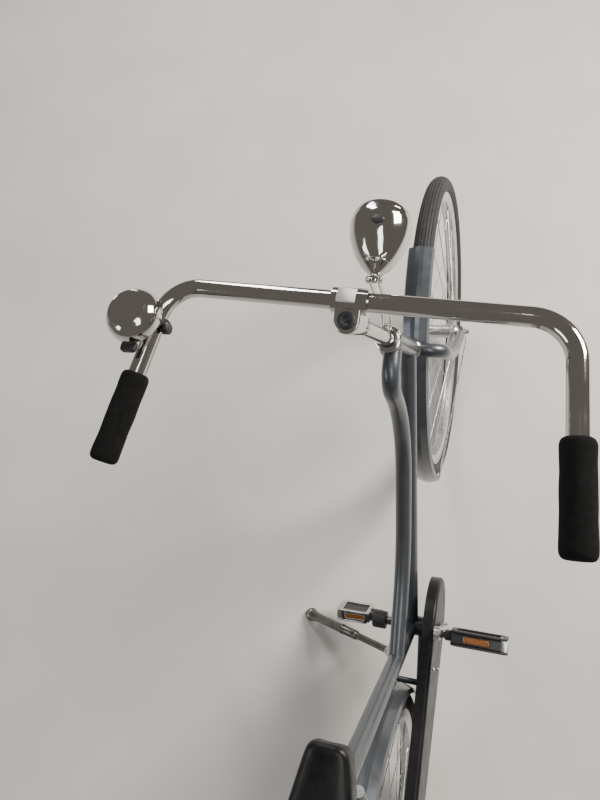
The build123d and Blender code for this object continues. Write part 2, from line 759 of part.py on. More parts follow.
with BuildPart() as seat_collar:
    add(tube(seat_top_at - seat_axis * 16.0, seat_top_at + seat_axis * 2.0,
             tube_radius + 3.0, tube_radius + 0.1))

saddle_stations = (             # behind the nose, half width, height over the nose
    (0.0, 17.0, -4.0),
    (70.0, 34.0, 4.0),
    (150.0, 72.0, 8.0),
    (215.0, saddle_width / 2, 14.0),
    (saddle_length, 70.0, 12.0),
)
saddle_under = 18.0             # from a station's height down to the saddle's underside
with BuildPart() as saddle:
    for behind, half, height in saddle_stations:
        place = saddle_nose + Vector(-behind, 0, height)
        with BuildSketch(Plane(place, x_dir=(0, 1, 0), z_dir=(1, 0, 0))):
            with BuildLine():
                ThreePointArc((-half, -saddle_under), (0, 4), (half, -saddle_under))
                Line((half, -saddle_under), (-half, -saddle_under))
            make_face()
    loft(ruled=True)

# Saddle rails run from under the nose to two upright springs at the rear
spring_behind = 205.0
spring_side = 42.0
spring_radius = 14.0
spring_top = saddle_nose.Z + 11.6 - saddle_under - seat_gap
spring_foot = saddle_clamp_at.Z - 4.0
rail_radius = 3.5
with BuildPart() as saddle_frame:
    for side in (-1, 1):
        rear = Vector(saddle_nose.X - spring_behind, side * spring_side, spring_foot - rail_radius)
        front = Vector(saddle_nose.X - 45, side * 9, saddle_nose.Z - saddle_under - 7.0)
        middle = Vector(saddle_clamp_at.X, side * 24, saddle_clamp_at.Z)
        add(rod(front, middle, rail_radius))
        add(rod(middle, rear, rail_radius))
        add(rod(rear, Vector(rear.X, rear.Y, spring_top), spring_radius))
    add(rod(Vector(saddle_nose.X - 45, -14, saddle_nose.Z - saddle_under - 6.0),
            Vector(saddle_nose.X - 45, 14, saddle_nose.Z - saddle_under - 6.0), 4.5))
    add(rod(across(saddle_clamp_at, -30), across(saddle_clamp_at, 30), 10.0))
    add(seat_post.part, mode=Mode.SUBTRACT)

# Ring lock around the rear wheel, on the seat stays
lock_angle = seat_stay_angle + 4.0
lock_half = 57.0
lock_wall = 24.0
lock_plane = section_plane(rear_axle_at, seat_stay_angle)
with BuildPart() as ring_lock:
    with BuildSketch(lock_plane.offset(-27.6)):
        with Locations((0, guard_radius - 10.0)):
            Circle(lock_half)
            Rectangle(2 * lock_half, 62.0, align=(Align.CENTER, Align.MAX))
            Circle(lock_half - lock_wall, mode=Mode.SUBTRACT)
            Rectangle(2 * (lock_half - lock_wall), 70.0, align=(Align.CENTER, Align.MAX),
                      mode=Mode.SUBTRACT)
    extrude(amount=20.0)

with BuildPart() as rear_lamp:
    spot = about_axle(rear_axle_at, guard_radius + guard_wall + 16.2, 158.0)
    out = (spot - rear_axle_at).normalized()
    behind = Vector(-out.Z, 0, out.X)
    with BuildSketch(Plane(spot + behind * -12, x_dir=(0, 1, 0), z_dir=behind)):
        RectangleRounded(48.0, 32.0, 6.0)
    extrude(amount=24.0)

pieces = {
    "head_tube": head_tube.part,
    "headset_cups": headset_cups.part,
    "upper_tube": upper_tube.part,
    "down_tube": down_tube.part,
    "seat_tube": seat_tube.part,
    "bottom_bracket": bottom_bracket.part,
    "chainstays": chainstays.part,
    "seatstays": seatstays.part,
    "dropouts": dropouts.part,
    "rear_axle": axle_set(rear_axle_at, rear_spacing, rear_axle_reach),
    "rear_mudguard": mudguard(rear_axle_at, rear_guard_from, rear_guard_to),
    "rear_mudguard_stays": guard_stays(rear_axle_at, 176.0, rear_spacing),
    "chain_case_front": chain_case_front.part,
    "chain_case_rear": chain_case_rear.part,
    "ring_lock": ring_lock.part,
    "rear_lamp": rear_lamp.part,
    "seat_post": seat_post.part,
    "seat_collar": seat_collar.part,
    "saddle_frame": saddle_frame.part,
    "saddle": saddle.part,
    "stand_bracket": stand_bracket.part,
    "fork": fork.part,
    "locknut": locknut.part,
    "front_axle": axle_set(front_axle_at, front_spacing, front_axle_reach),
    "front_mudguard": mudguard(front_axle_at, front_guard_from, front_guard_to),
    "front_mudguard_stays": guard_stays(front_axle_at, front_guard_to - 6, front_spacing),
    "stem": stem.part,
    "handlebar": handlebar.part,
    "grip_left": grip(1),
    "grip_right": grip(-1),
    "bell_base": bell_base.part,
    "bell_dome": bell_dome.part,
    "lamp_bracket": lamp_bracket.part,
    "lamp_shell": lamp_shell.part,
    "lamp_lens": lamp_lens.part,
    "front_tyre": tyre(front_axle_at),
    "front_rim": rim(front_axle_at),
    "front_spokes": spokes(front_axle_at, "front"),
    "front_hub": hub(front_axle_at, "front"),
    "rear_tyre": tyre(rear_axle_at),
    "rear_rim": rim(rear_axle_at),
    "rear_spokes": spokes(rear_axle_at, "rear"),
    "rear_hub": hub(rear_axle_at, "rear"),
    "crank_spindle": crank_spindle.part,
    "crank_arm_right": crank_arm(-1, right_arm_side, right_eye),
    "crank_arm_left": crank_arm(1, left_arm_side, left_eye),
    "pedal_spindles": pedal_spindles.part,
    "pedal_body_right": pedal_body(-1, right_arm_side, right_eye),
    "pedal_cage_right": pedal_cage(-1, right_arm_side, right_eye),
    "pedal_body_left": pedal_body(1, left_arm_side, left_eye),
    "pedal_cage_left": pedal_cage(1, left_arm_side, left_eye),
    "stand_leg": stand_leg.part,
    "stand_foot": stand_foot.part,
}

# Lean the bicycle onto its stand, then put the origin on the floor under its middle
leaned = Location((0, 0, lift), (-lean_angle, 0, 0))
for piece in pieces.values():
    piece.move(leaned)
boxes = [piece.bounding_box() for piece in pieces.values()]
middle_x = (min(box.min.X for box in boxes) + max(box.max.X for box in boxes)) / 2
middle_y = (min(box.min.Y for box in boxes) + max(box.max.Y for box in boxes)) / 2
os.makedirs("parts", exist_ok=True)
for name, piece in pieces.items():
    piece.move(Location((-middle_x, -middle_y, 0)))
    piece.label = name
    export_step(piece, f"parts/{name}.step")
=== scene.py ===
# %% [markdown]
# This lesson dresses a step-through city bicycle. Its frame, wheels, cranks and stand were
# modelled first as CAD solids, and they arrive here as a fixed frame of named nodes that
# ride on moving bodies. What follows gives each node its finish and builds the pieces that
# a solid model is poor at: ribbed tyres, a padded saddle, coil springs, spoke nipples,
# screws and reflectors.

# %% Load the frame
import json
from functools import partial
from math import asin, cos, degrees, pi, radians, sin

import bmesh
import bpy
from mathutils import Matrix, Vector


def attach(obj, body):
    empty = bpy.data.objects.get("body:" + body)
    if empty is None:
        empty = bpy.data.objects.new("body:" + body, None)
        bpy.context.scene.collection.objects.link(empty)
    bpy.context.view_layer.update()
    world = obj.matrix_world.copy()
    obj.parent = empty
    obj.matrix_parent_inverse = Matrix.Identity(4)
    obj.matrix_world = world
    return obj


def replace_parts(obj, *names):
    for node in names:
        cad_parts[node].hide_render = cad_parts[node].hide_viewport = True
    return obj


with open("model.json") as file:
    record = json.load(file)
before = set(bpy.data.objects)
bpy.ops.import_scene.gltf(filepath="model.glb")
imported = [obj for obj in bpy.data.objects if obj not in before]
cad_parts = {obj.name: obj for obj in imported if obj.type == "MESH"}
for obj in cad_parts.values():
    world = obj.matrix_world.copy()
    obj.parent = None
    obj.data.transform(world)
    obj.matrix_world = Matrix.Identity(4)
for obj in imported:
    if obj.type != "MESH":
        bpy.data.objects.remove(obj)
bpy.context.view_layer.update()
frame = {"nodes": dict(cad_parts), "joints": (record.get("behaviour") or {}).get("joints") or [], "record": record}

nodes = frame["nodes"]
joints = {joint["name"]: joint for joint in frame["joints"]}


def put(name, data):
    made = bpy.data.objects.new(name, data)
    bpy.context.scene.collection.objects.link(made)
    return made


# %% [markdown]
# The bicycle leans on its side stand, so nothing on it is square to the floor. It is far
# easier to model it upright, in millimetres, with the rear tyre's contact point as the
# origin, X ahead and Y to its left, and to lean each finished mesh at the end. The rear
# wheel's joint says where the axle is and how far the bicycle leans, which is all that the
# matrix needs.

# %% The upright bicycle's frame
wheel_radius = 350.0
left_way = Vector((0, 1, 0))
axle_spot = Vector(joints["rear_wheel_spin"]["pos_m"])
lean = asin(-joints["rear_wheel_spin"]["axis"][2])
bike = (Matrix.Translation(axle_spot) @ Matrix.Rotation(-lean, 4, "X")
        @ Matrix.Scale(0.001, 4) @ Matrix.Translation((0, 0, -wheel_radius)))
upright = bike.inverted()
front_axle = upright @ Vector(joints["front_wheel_spin"]["pos_m"])
rear_axle = upright @ axle_spot
bracket = upright @ Vector(joints["crank_spin"]["pos_m"])
wheels = (("front", front_axle), ("rear", rear_axle))
sides = ((1, "left"), (-1, "right"))
print("lean", round(degrees(lean), 2), "front axle", front_axle, "bracket", bracket)

# %% [markdown]
# The photograph looks down at the handlebar from over the saddle. The camera's place,
# heading, tilt and roll were worked out once from standard bicycle sizes, and are typed
# here. A camera looks along its own -Z, so the matrix is built from the three directions of
# the picture: right, up and backwards.

# %% Camera at the photograph's angle
heading = radians(23.023)
down = radians(67.679)
roll = radians(-13.802)
camera_ahead, camera_left, camera_height = 0.42257, 0.16278, 1.65
look = Vector((cos(down) * cos(heading), cos(down) * sin(heading), -sin(down)))
level = Vector((sin(heading), -cos(heading), 0))
above = level.cross(look)
picture_right = level * cos(roll) + above * sin(roll)
picture_up = above * cos(roll) - level * sin(roll)
ground = axle_spot - Vector((0, wheel_radius * 0.001 * sin(lean), 0))
camera_data = bpy.data.cameras.new("camera")
camera_data.sensor_width = 36.0
camera_data.lens = 27.08
camera_data.clip_start = 0.02
camera = put("camera", camera_data)
turn = Matrix((picture_right, picture_up, -look)).transposed().to_4x4()
camera_spot = (ground.x + camera_ahead, ground.y + camera_left, camera_height)
camera.matrix_world = Matrix.Translation(camera_spot) @ turn
bpy.context.scene.camera = camera
print("camera at", camera.location)

# %% [markdown]
# A plain pale floor catches a soft shadow, and large soft lights stand on three sides and
# overhead. Chrome shows only what it mirrors, so the lights are broad panels with dim space
# between them: that gives the bar and the lamp long bright streaks on a darker ground.

# %% Floor, lights and sky
floor_mesh = bpy.data.meshes.new("floor")
floor_mesh.from_pydata([(-8, -8, 0), (8, -8, 0), (8, 8, 0), (-8, 8, 0)], [], [(0, 1, 2, 3)])
floor = put("floor", floor_mesh)


def soft_light(name, place, target, size, power, colour=(1, 1, 1)):
    data = bpy.data.lights.new(name, "AREA")
    data.shape = "RECTANGLE"
    data.size, data.size_y = size
    data.energy = power
    data.color = colour
    light = put(name, data)
    light.location = place
    light.rotation_euler = (Vector(target) - Vector(place)).to_track_quat("-Z", "Y").to_euler()


soft_light("key", (1.9, -2.3, 2.6), (0.1, 0, 0.5), (1.4, 1.4), 215, (1.0, 0.95, 0.88))
soft_light("fill", (-1.2, 2.7, 2.0), (0, 0, 0.5), (1.6, 1.0), 20, (0.93, 0.96, 1.0))
soft_light("back", (2.8, 1.4, 2.2), (0.3, 0, 0.6), (0.7, 1.8), 50)
soft_light("top", (-0.9, -0.5, 3.4), (0, 0, 0.4), (0.8, 2.2), 26)
world = bpy.data.worlds.new("studio")
bpy.context.scene.world = world
world.use_nodes = True
sky = world.node_tree.nodes["Background"].inputs
sky["Color"].default_value = (0.90, 0.82, 0.72, 1)
sky["Strength"].default_value = 0.18

# %% [markdown]
# A finish is a short chain of nodes. Object coordinates are metres on every piece, so noise
# of scale 400 has spots of about 2.5 mm on all of them. The helpers below add one idea each:
# spots, a value between two limits, a product, a mix of two colours and a bump.

# %% Helpers for finishes
cells = "ShaderNodeTexVoronoi"


def finish(name, colour, metallic=0.0, roughness=0.5, **sockets):
    material = bpy.data.materials.new(name)
    material.use_nodes = True
    shader = shader_of(material)
    shader.inputs["Base Color"].default_value = (*colour, 1)
    shader.inputs["Metallic"].default_value = metallic
    shader.inputs["Roughness"].default_value = roughness
    for socket, value in sockets.items():
        shader.inputs[socket.replace("_", " ")].default_value = value
    return material


def shader_of(material):
    return material.node_tree.nodes["Principled BSDF"]


def add_node(material, kind, **settings):
    made = material.node_tree.nodes.new(kind)
    for name, value in settings.items():
        setattr(made, name, value)
    return made


def join(material, source, target):
    material.node_tree.links.new(source, target)


def spots(material, scale, detail, stretch=(1, 1, 1), kind="ShaderNodeTexNoise"):
    place = add_node(material, "ShaderNodeTexCoord")
    mapping = add_node(material, "ShaderNodeMapping")
    mapping.inputs["Scale"].default_value = stretch
    texture = add_node(material, kind)
    texture.inputs["Scale"].default_value = scale
    texture.inputs["Detail"].default_value = detail
    join(material, place.outputs["Object"], mapping.inputs["Vector"])
    join(material, mapping.outputs["Vector"], texture.inputs["Vector"])
    return texture.outputs["Distance" if kind == cells else "Fac"]


def between(material, source, low, high, out_low, out_high):
    remap = add_node(material, "ShaderNodeMapRange")
    for name, value in (("From Min", low), ("From Max", high),
                        ("To Min", out_low), ("To Max", out_high)):
        remap.inputs[name].default_value = value
    join(material, source, remap.inputs["Value"])
    return remap.outputs["Result"]


def times(material, first, second):
    product = add_node(material, "ShaderNodeMath", operation="MULTIPLY")
    join(material, first, product.inputs[0])
    join(material, second, product.inputs[1])
    return product.outputs[0]


def tint(material, share, first, second):
    mix = add_node(material, "ShaderNodeMix", data_type="RGBA")
    for slot, colour in (("A", first), ("B", second)):
        socket = [s for s in mix.inputs if s.name == slot and s.type == "RGBA"][0]
        if hasattr(colour, "links"):
            join(material, colour, socket)
        else:
            socket.default_value = (*colour, 1)
    join(material, share, mix.inputs[0])
    mixed = [s for s in mix.outputs if s.type == "RGBA"][0]
    join(material, mixed, shader_of(material).inputs["Base Color"])
    return mixed


def dent(material, height, distance, strength):
    shader = shader_of(material)
    bump = add_node(material, "ShaderNodeBump")
    bump.inputs["Distance"].default_value = distance
    bump.inputs["Strength"].default_value = strength
    if shader.inputs["Normal"].is_linked:
        join(material, shader.inputs["Normal"].links[0].from_socket, bump.inputs["Normal"])
    join(material, height, bump.inputs["Height"])
    join(material, bump.outputs["Normal"], shader.inputs["Normal"])


print("helpers ready")

# %% [markdown]
# Four effects are put together from those helpers, and nearly every finish below is a choice
# of numbers for them: patches of a second colour, a gloss that comes and goes, a fine grain,
# and a film of dust that settles only where the surface faces up.

# %% Patches, gloss, grain and dust
def patches(material, scale, detail, limits, first, second, most=1):
    share = between(material, spots(material, scale, detail), *limits, 0, most)
    return tint(material, share, first, second)


def uneven_gloss(material, scale, detail, limits, roughness, stretch=(1, 1, 1)):
    rough = between(material, spots(material, scale, detail, stretch), *limits, *roughness)
    join(material, rough, shader_of(material).inputs["Roughness"])


def grain(material, scale, detail, depth, strength, **texture):
    dent(material, spots(material, scale, detail, **texture), depth, strength)


def dust_film(material, steepest, scale, detail, limits, most, under, dust):
    normal = add_node(material, "ShaderNodeNewGeometry")
    split = add_node(material, "ShaderNodeSeparateXYZ")
    join(material, normal.outputs["Normal"], split.inputs["Vector"])
    faces_up = between(material, split.outputs["Z"], steepest, 1.0, 0.0, 1.0)
    dusty = between(material, spots(material, scale, detail), *limits, 0.0, most)
    tint(material, times(material, faces_up, dusty), under, dust)


print("effects ready")

# %% [markdown]
# The floor is plain and pale, with only enough mottling to keep it from looking like a
# blank sheet.

# %% Floor finish
pale = finish("pale_floor", (0.62, 0.60, 0.57), roughness=0.75)
patches(pale, 3.0, 4.0, (0.3, 0.7), (0.60, 0.58, 0.55), (0.66, 0.64, 0.61))
floor.data.materials.append(pale)
print("floor", pale.name)

# %% [markdown]
# The frame, fork and mudguards share a slate grey metallic paint under clear lacquer. Real
# metallic paint has flakes far smaller than a millimetre that catch the light one by one,
# a little orange peel, and a film of dust where it faces up.

# %% Slate metallic paint
slate = finish("slate_paint", (0.07, 0.078, 0.089), metallic=0.5, roughness=0.36,
               Coat_Weight=0.45, Coat_Roughness=0.08)
flaked = patches(slate, 5200.0, 1.0, (0.35, 0.72), (0.052, 0.060, 0.070), (0.120, 0.134, 0.152))
toned = patches(slate, 9.0, 3.0, (0.3, 0.75), flaked, (0.045, 0.048, 0.053), 0.22)
dust_film(slate, 0.55, 38.0, 5.0, (0.35, 0.8), 0.08, toned, (0.34, 0.32, 0.29))
uneven_gloss(slate, 60.0, 4.0, (0.3, 0.8), (0.28, 0.42))
grain(slate, 260.0, 2.0, 0.00012, 0.25)
print("paint", slate.name)

# %% [markdown]
# Chrome is almost a mirror. It only reads as metal on a bicycle because of what little
# disturbs it: a faint waviness from polishing, hairline scratches and small dull patches of
# dust.

# %% Chrome, plated steel and aluminium
chrome = finish("chrome", (0.62, 0.61, 0.59), metallic=1.0, roughness=0.07)
uneven_gloss(chrome, 24.0, 6.0, (0.42, 0.8), (0.045, 0.17))
grain(chrome, 55.0, 2.0, 0.0004, 0.10)
grain(chrome, 900.0, 2.0, 0.00003, 0.25, stretch=(1, 0.08, 1))

plated = finish("plated_steel", (0.60, 0.60, 0.58), metallic=1.0, roughness=0.3)
uneven_gloss(plated, 160.0, 4.0, (0.3, 0.75), (0.20, 0.46))
patches(plated, 45.0, 5.0, (0.45, 0.8), (0.64, 0.64, 0.62), (0.40, 0.39, 0.37))
grain(plated, 700.0, 3.0, 0.00005, 0.4)

dark_steel = finish("dark_steel", (0.16, 0.15, 0.14), metallic=1.0, roughness=0.34)
uneven_gloss(dark_steel, 120.0, 5.0, (0.3, 0.8), (0.24, 0.5))
patches(dark_steel, 40.0, 5.0, (0.4, 0.8), (0.17, 0.16, 0.15), (0.09, 0.085, 0.08))
grain(dark_steel, 500.0, 3.0, 0.00006, 0.4)

alloy = finish("satin_alloy", (0.70, 0.70, 0.70), metallic=1.0, roughness=0.33)
uneven_gloss(alloy, 300.0, 4.0, (0.3, 0.75), (0.24, 0.44), stretch=(0.2, 1, 1))
patches(alloy, 30.0, 5.0, (0.5, 0.85), (0.70, 0.70, 0.70), (0.48, 0.48, 0.47))
grain(alloy, 1200.0, 2.0, 0.00004, 0.35, stretch=(0.1, 1, 1))
print("metals", chrome.name, plated.name, dark_steel.name, alloy.name)

# %% [markdown]
# The black pieces differ only in their skin: lacquered steel on the chain case, plain
# moulded plastic on the pedals, closed-cell foam on the grips and grained vinyl on the saddle.

# %% Black finishes
lacquer = finish("case_lacquer", (0.010, 0.010, 0.011), roughness=0.4,
                 Specular_IOR_Level=0.20, Coat_Weight=0.0)
uneven_gloss(lacquer, 30.0, 6.0, (0.4, 0.9), (0.34, 0.50))
dust_film(lacquer, 0.2, 160.0, 6.0, (0.45, 0.9), 0.035, (0.012, 0.012, 0.013), (0.4, 0.38, 0.35))
grain(lacquer, 18.0, 2.0, 0.0005, 0.06)

moulded = finish("moulded_black", (0.022, 0.022, 0.024), roughness=0.48)
uneven_gloss(moulded, 220.0, 4.0, (0.3, 0.8), (0.38, 0.62))
grain(moulded, 1900.0, 2.0, 0.00006, 0.5)

foam = finish("grip_foam", (0.004, 0.004, 0.004), roughness=0.95, Specular_IOR_Level=0.22)
patches(foam, 130.0, 5.0, (0.45, 0.85), (0.0035, 0.0035, 0.0035), (0.009, 0.009, 0.0085))
grain(foam, 1500.0, 1.0, 0.00035, 0.7, kind=cells)
grain(foam, 180.0, 4.0, 0.0005, 0.2)

vinyl = finish("saddle_vinyl", (0.005, 0.005, 0.005), roughness=0.38, Specular_IOR_Level=0.3)
uneven_gloss(vinyl, 50.0, 5.0, (0.35, 0.8), (0.30, 0.52))
patches(vinyl, 26.0, 5.0, (0.5, 0.85), (0.0045, 0.0045, 0.0045), (0.010, 0.0095, 0.009))
grain(vinyl, 620.0, 1.0, 0.0004, 0.35, kind=cells)
grain(vinyl, 90.0, 3.0, 0.0006, 0.12)
print("blacks", [m.name for m in (lacquer, moulded, foam, vinyl)])

# %% [markdown]
# The rubber's slots are drawn in the material, because thousands of cuts a millimetre wide
# would cost too many faces. The tyre stores how far each point lies round the wheel and
# across the section, both in millimetres, and folding a distance back and forth makes it
# repeat. A slot is where the folded distance round is small and the folded distance across
# lies between two limits, which gives two bands of slots.

# %% Tyre rubber
slot_half_pitch, band_fold = 4.5, 51.0
rubber = finish("tyre_rubber", (0.022, 0.022, 0.023), roughness=0.78)


def folded(attribute, length):
    stored = add_node(rubber, "ShaderNodeAttribute", attribute_name=attribute)
    fold = add_node(rubber, "ShaderNodeMath", operation="PINGPONG")
    fold.inputs[1].default_value = length
    join(rubber, stored.outputs["Fac"], fold.inputs[0])
    return fold.outputs[0]


in_slot = between(rubber, folded("around", slot_half_pitch), 0.35, 0.8, 1.0, 0.0)
across = folded("across", band_fold)
band_starts = between(rubber, across, 30.0, 31.0, 0.0, 1.0)
band_ends = between(rubber, across, 43.0, 44.0, 1.0, 0.0)
slots = times(rubber, times(rubber, in_slot, band_starts), band_ends)
dent(rubber, between(rubber, slots, 0.0, 1.0, 1.0, 0.0), 0.0012, 0.8)
patches(rubber, 70.0, 6.0, (0.42, 0.85), (0.022, 0.022, 0.023), (0.062, 0.059, 0.055), 0.4)
uneven_gloss(rubber, 140.0, 4.0, (0.3, 0.8), (0.62, 0.88))
grain(rubber, 1500.0, 3.0, 0.00008, 0.5)
print("rubber", rubber.name)

# %% [markdown]
# Lenses are clear or coloured plastic. A coloured reflector is dark until light comes back
# out of it, so a little of its own colour is left in the body as well as in what passes
# through.

# %% Lenses
glass = finish("lamp_glass", (0.92, 0.94, 0.95), roughness=0.04, Transmission_Weight=0.85,
               IOR=1.5)
grain(glass, 420.0, 0.0, 0.0006, 0.4, stretch=(1, 0.05, 1))
red = finish("red_lens", (0.50, 0.012, 0.010), roughness=0.12, Coat_Weight=0.6,
             Transmission_Weight=0.25, IOR=1.49)
grain(red, 500.0, 0.0, 0.0005, 0.5, kind=cells)
amber = finish("amber_lens", (0.26, 0.082, 0.005), roughness=0.2, Coat_Weight=0.5,
               Transmission_Weight=0.25, IOR=1.49)
grain(amber, 620.0, 0.0, 0.0005, 0.6, kind=cells)
print("lenses", glass.name, red.name, amber.name)

# %% [markdown]
# Each CAD node names the material slot of its real finish in the record, so one table of
# slots dresses them all at once, and nothing is left with a flat colour.

# %% Dress the CAD nodes
finishes = {"frame_paint": slate, "bright_chrome": chrome, "plated_steel": plated,
            "alloy": alloy, "tyre_rubber": rubber, "case_black": lacquer,
            "matt_black": moulded, "grip_foam": foam, "saddle_vinyl": vinyl,
            "lamp_glass": glass, "red_plastic": red}
for part in frame["record"]["subparts"]:
    mesh = nodes[part["node"]].data
    mesh.materials.clear()
    mesh.materials.append(finishes[part["material_slot"]])
# The locknut's dark steel is a painted reflection: the dark surroundings it mirrors are put into its colour.
for name in ("stand_leg", "locknut", "headset_cups", "crank_spindle"):
    nodes[name].data.materials[0] = dark_steel
nodes["pedal_spindles"].data.materials[0] = moulded

# %% [markdown]
# Every piece below is drawn in the upright bicycle's millimetres and then leaned with one
# matrix, so that its object stays at the origin with its place in its mesh. One helper does
# that, and names the body that the piece moves with. The others mend a mesh and build one.

# %% Put a mesh on the bicycle
def place_mesh(name, mesh, material, body, where=None):
    mesh.transform(bike if where is None else bike @ where)
    mesh.materials.clear()
    mesh.materials.append(material)
    piece = put(name, mesh)
    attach(piece, body)
    return piece


def mend(mesh, merge=0.0):
    shape = bmesh.new()
    shape.from_mesh(mesh)
    if merge:
        bmesh.ops.remove_doubles(shape, verts=shape.verts, dist=merge)
    bmesh.ops.recalc_face_normals(shape, faces=shape.faces)
    shape.to_mesh(mesh)
    shape.free()


def mesh_from(name, points, faces):
    mesh = bpy.data.meshes.new(name)
    mesh.from_pydata(points, [], faces)
    mend(mesh, 0.0005)
    mesh.shade_smooth()
    return mesh


def skin(rows, around):
    """Faces between rows of points, with so many points around each row."""
    faces = []
    for low in range(0, (rows - 1) * around, around):
        high = low + around
        for step in range(around):
            after = (step + 1) % around
            faces.append((low + step, low + after, high + after, high + step))
    return faces


print("placing helpers ready")

# %% [markdown]
# Turned pieces such as grips, screw caps and spring cups are an outline spun about a line.
# The helper takes (along, radius) pairs, so a row of numbers reads like a lathe drawing.

# %% Spin an outline
def spun(name, outline, start, way, material, body, steps=32, wave=None, sharp=None):
    way = Vector(way).normalized()
    side = way.orthogonal().normalized()
    other = way.cross(side)
    points = []
    for along, radius in outline:
        for step in range(steps):
            turn = 2 * pi * step / steps
            size = radius + (wave(along, turn) if wave and radius > 0.5 else 0.0)
            points.append(start + way * along + (side * cos(turn) + other * sin(turn)) * size)
    mesh = mesh_from(name, points, skin(len(outline), steps))
    if sharp:
        mesh.set_sharp_from_angle(angle=radians(sharp))
    return place_mesh(name, mesh, material, body)


print("lathe ready")

# %% [markdown]
# Geometry Nodes are at their best where one rule makes a whole piece. A tree is built once
# with named inputs, each with its usual value. The last helper can set an input by its
# socket's identifier, evaluates the tree and hands back a plain mesh.

# %% Helpers for Geometry Nodes
def new_tree(name, **sizes):
    tree = bpy.data.node_groups.new(name, "GeometryNodeTree")
    tree.interface.new_socket("Geometry", in_out="INPUT", socket_type="NodeSocketGeometry")
    tree.interface.new_socket("Geometry", in_out="OUTPUT", socket_type="NodeSocketGeometry")
    for label, value in sizes.items():
        kind = "NodeSocketInt" if isinstance(value, int) else "NodeSocketFloat"
        socket = tree.interface.new_socket(label, in_out="INPUT", socket_type=kind)
        socket.default_value = value
    return tree, tree.nodes.new("NodeGroupInput").outputs, partial(tree_node, tree)


def tree_node(tree, kind, links=None, out=0, **settings):
    made = tree.nodes.new(kind)
    for name, value in settings.items():
        setattr(made, name, value)
    for socket, source in (links or {}).items():
        target = made.inputs[socket]
        if hasattr(source, "is_linked"):
            tree.links.new(source, target)
        else:
            target.default_value = source
    return made.outputs[out]


def close_tree(tree, geometry, material):
    real = tree_node(tree, "GeometryNodeRealizeInstances", {"Geometry": geometry})
    dressed = tree_node(tree, "GeometryNodeSetMaterial", {"Geometry": real, "Material": material})
    tree.links.new(dressed, tree.nodes.new("NodeGroupOutput").inputs[0])


def grown(name, tree, base=None, **values):
    mesh = base or bpy.data.meshes.new(name + "_seed")
    seed = put(name + "_seed", mesh)
    modifier = seed.modifiers.new("tree", "NODES")
    modifier.node_group = tree
    for item in tree.interface.items_tree:
        if item.in_out == "INPUT" and item.name in values:
            modifier[item.identifier] = values[item.name]
    view = bpy.context.evaluated_depsgraph_get()
    result = bpy.data.meshes.new_from_object(seed.evaluated_get(view))
    result.name = name
    seed.modifiers.clear()
    bpy.data.objects.remove(seed)
    return result


print("tree helpers ready")

# %% [markdown]
# A tyre is one section carried round a circle. The section is drawn here with its beads,
# thin sidewalls, a moulded line on each wall and five ribs on the tread, and the tree sweeps
# it along a circle. The distances round and across the tyre are stored on the way, because
# the rubber's material cuts its slots by them.

# %% The tyre's section
tyre_radius = 19.5
groove_depth = 1.3


def on_tyre(angle, radius):
    return (radius * cos(radians(angle)), radius * sin(radians(angle)))


outside = [on_tyre(angle, tyre_radius + rise) for angle, rise in
           ((-133, 0), (-120, 0), (-107, 0), (-96, 0), (-92, 0), (-91, 0.5), (-88, 0.5), (-87, 0),
            (-76, 0), (-63, 0), (-53, 0))]
wall = outside[:]
for groove in (-46.0, -27.6, -9.2, 9.2, 27.6, 46.0):
    outside += [on_tyre(groove + aside, tyre_radius + rise) for aside, rise in
                ((-3.4, 0.1), (-2.0, -groove_depth), (2.0, -groove_depth), (3.4, 0.1))]
    if groove < 46:
        outside.append(on_tyre(groove + 9.2, tyre_radius + 0.3))
outside += [(x, -y) for x, y in reversed(wall)]
inside = [on_tyre(angle, tyre_radius - 3.2) for angle in range(140, -141, -20)]
tyre_section = ([(-19.2, -10.3), (-13.3, -10.3)] + outside
                + [(-13.3, 10.3), (-19.2, 10.3), (-19.2, 7.8)] + inside + [(-19.2, -7.8)])
print("tyre section", len(tyre_section), "points")

# %% Sweep both tyres
tyre_tree, ends, node = new_tree("tyre_sweep", middle_radius=330.5, steps=168)


def marked(line, name):
    """The line with the distance along it stored on its points."""
    along = node("GeometryNodeSplineParameter", out="Length")
    return node("GeometryNodeStoreNamedAttribute",
                {"Geometry": line, "Name": name, "Value": along}, data_type="FLOAT", domain="POINT")


profile = node("GeometryNodeMeshToCurve", {0: ends["Geometry"]})
path = node("GeometryNodeCurvePrimitiveCircle",
            {"Radius": ends["middle_radius"], "Resolution": ends["steps"]})
swept = node("GeometryNodeCurveToMesh", {0: marked(path, "around"), 1: marked(profile, "across")})
close_tree(tyre_tree, swept, rubber)
on_edge = Matrix.Rotation(pi / 2, 4, "X")
count = len(tyre_section)
for end, axle in wheels:
    line = bpy.data.meshes.new("section")
    line.from_pydata([(x, y, 0) for x, y in tyre_section],
                     [(i, (i + 1) % count) for i in range(count)], [])
    mesh = grown(end + "_ribbed_tyre", tyre_tree, line)
    mend(mesh)
    mesh.set_sharp_from_angle(angle=radians(38))
    piece = place_mesh(end + "_ribbed_tyre", mesh, rubber, end + "_wheel",
                       Matrix.Translation(axle) @ on_edge)
    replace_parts(piece, end + "_tyre")
    print(piece.name, len(mesh.polygons), "faces")

# %% [markdown]
# The saddle is vinyl over foam on a stiff base. Its plan grows from a narrow nose to a wide
# tail, and each cross-section is a low crown that rolls over into a short skirt. Rings of
# points carry that shape from nose to tail, and two levels of subdivision make it supple.

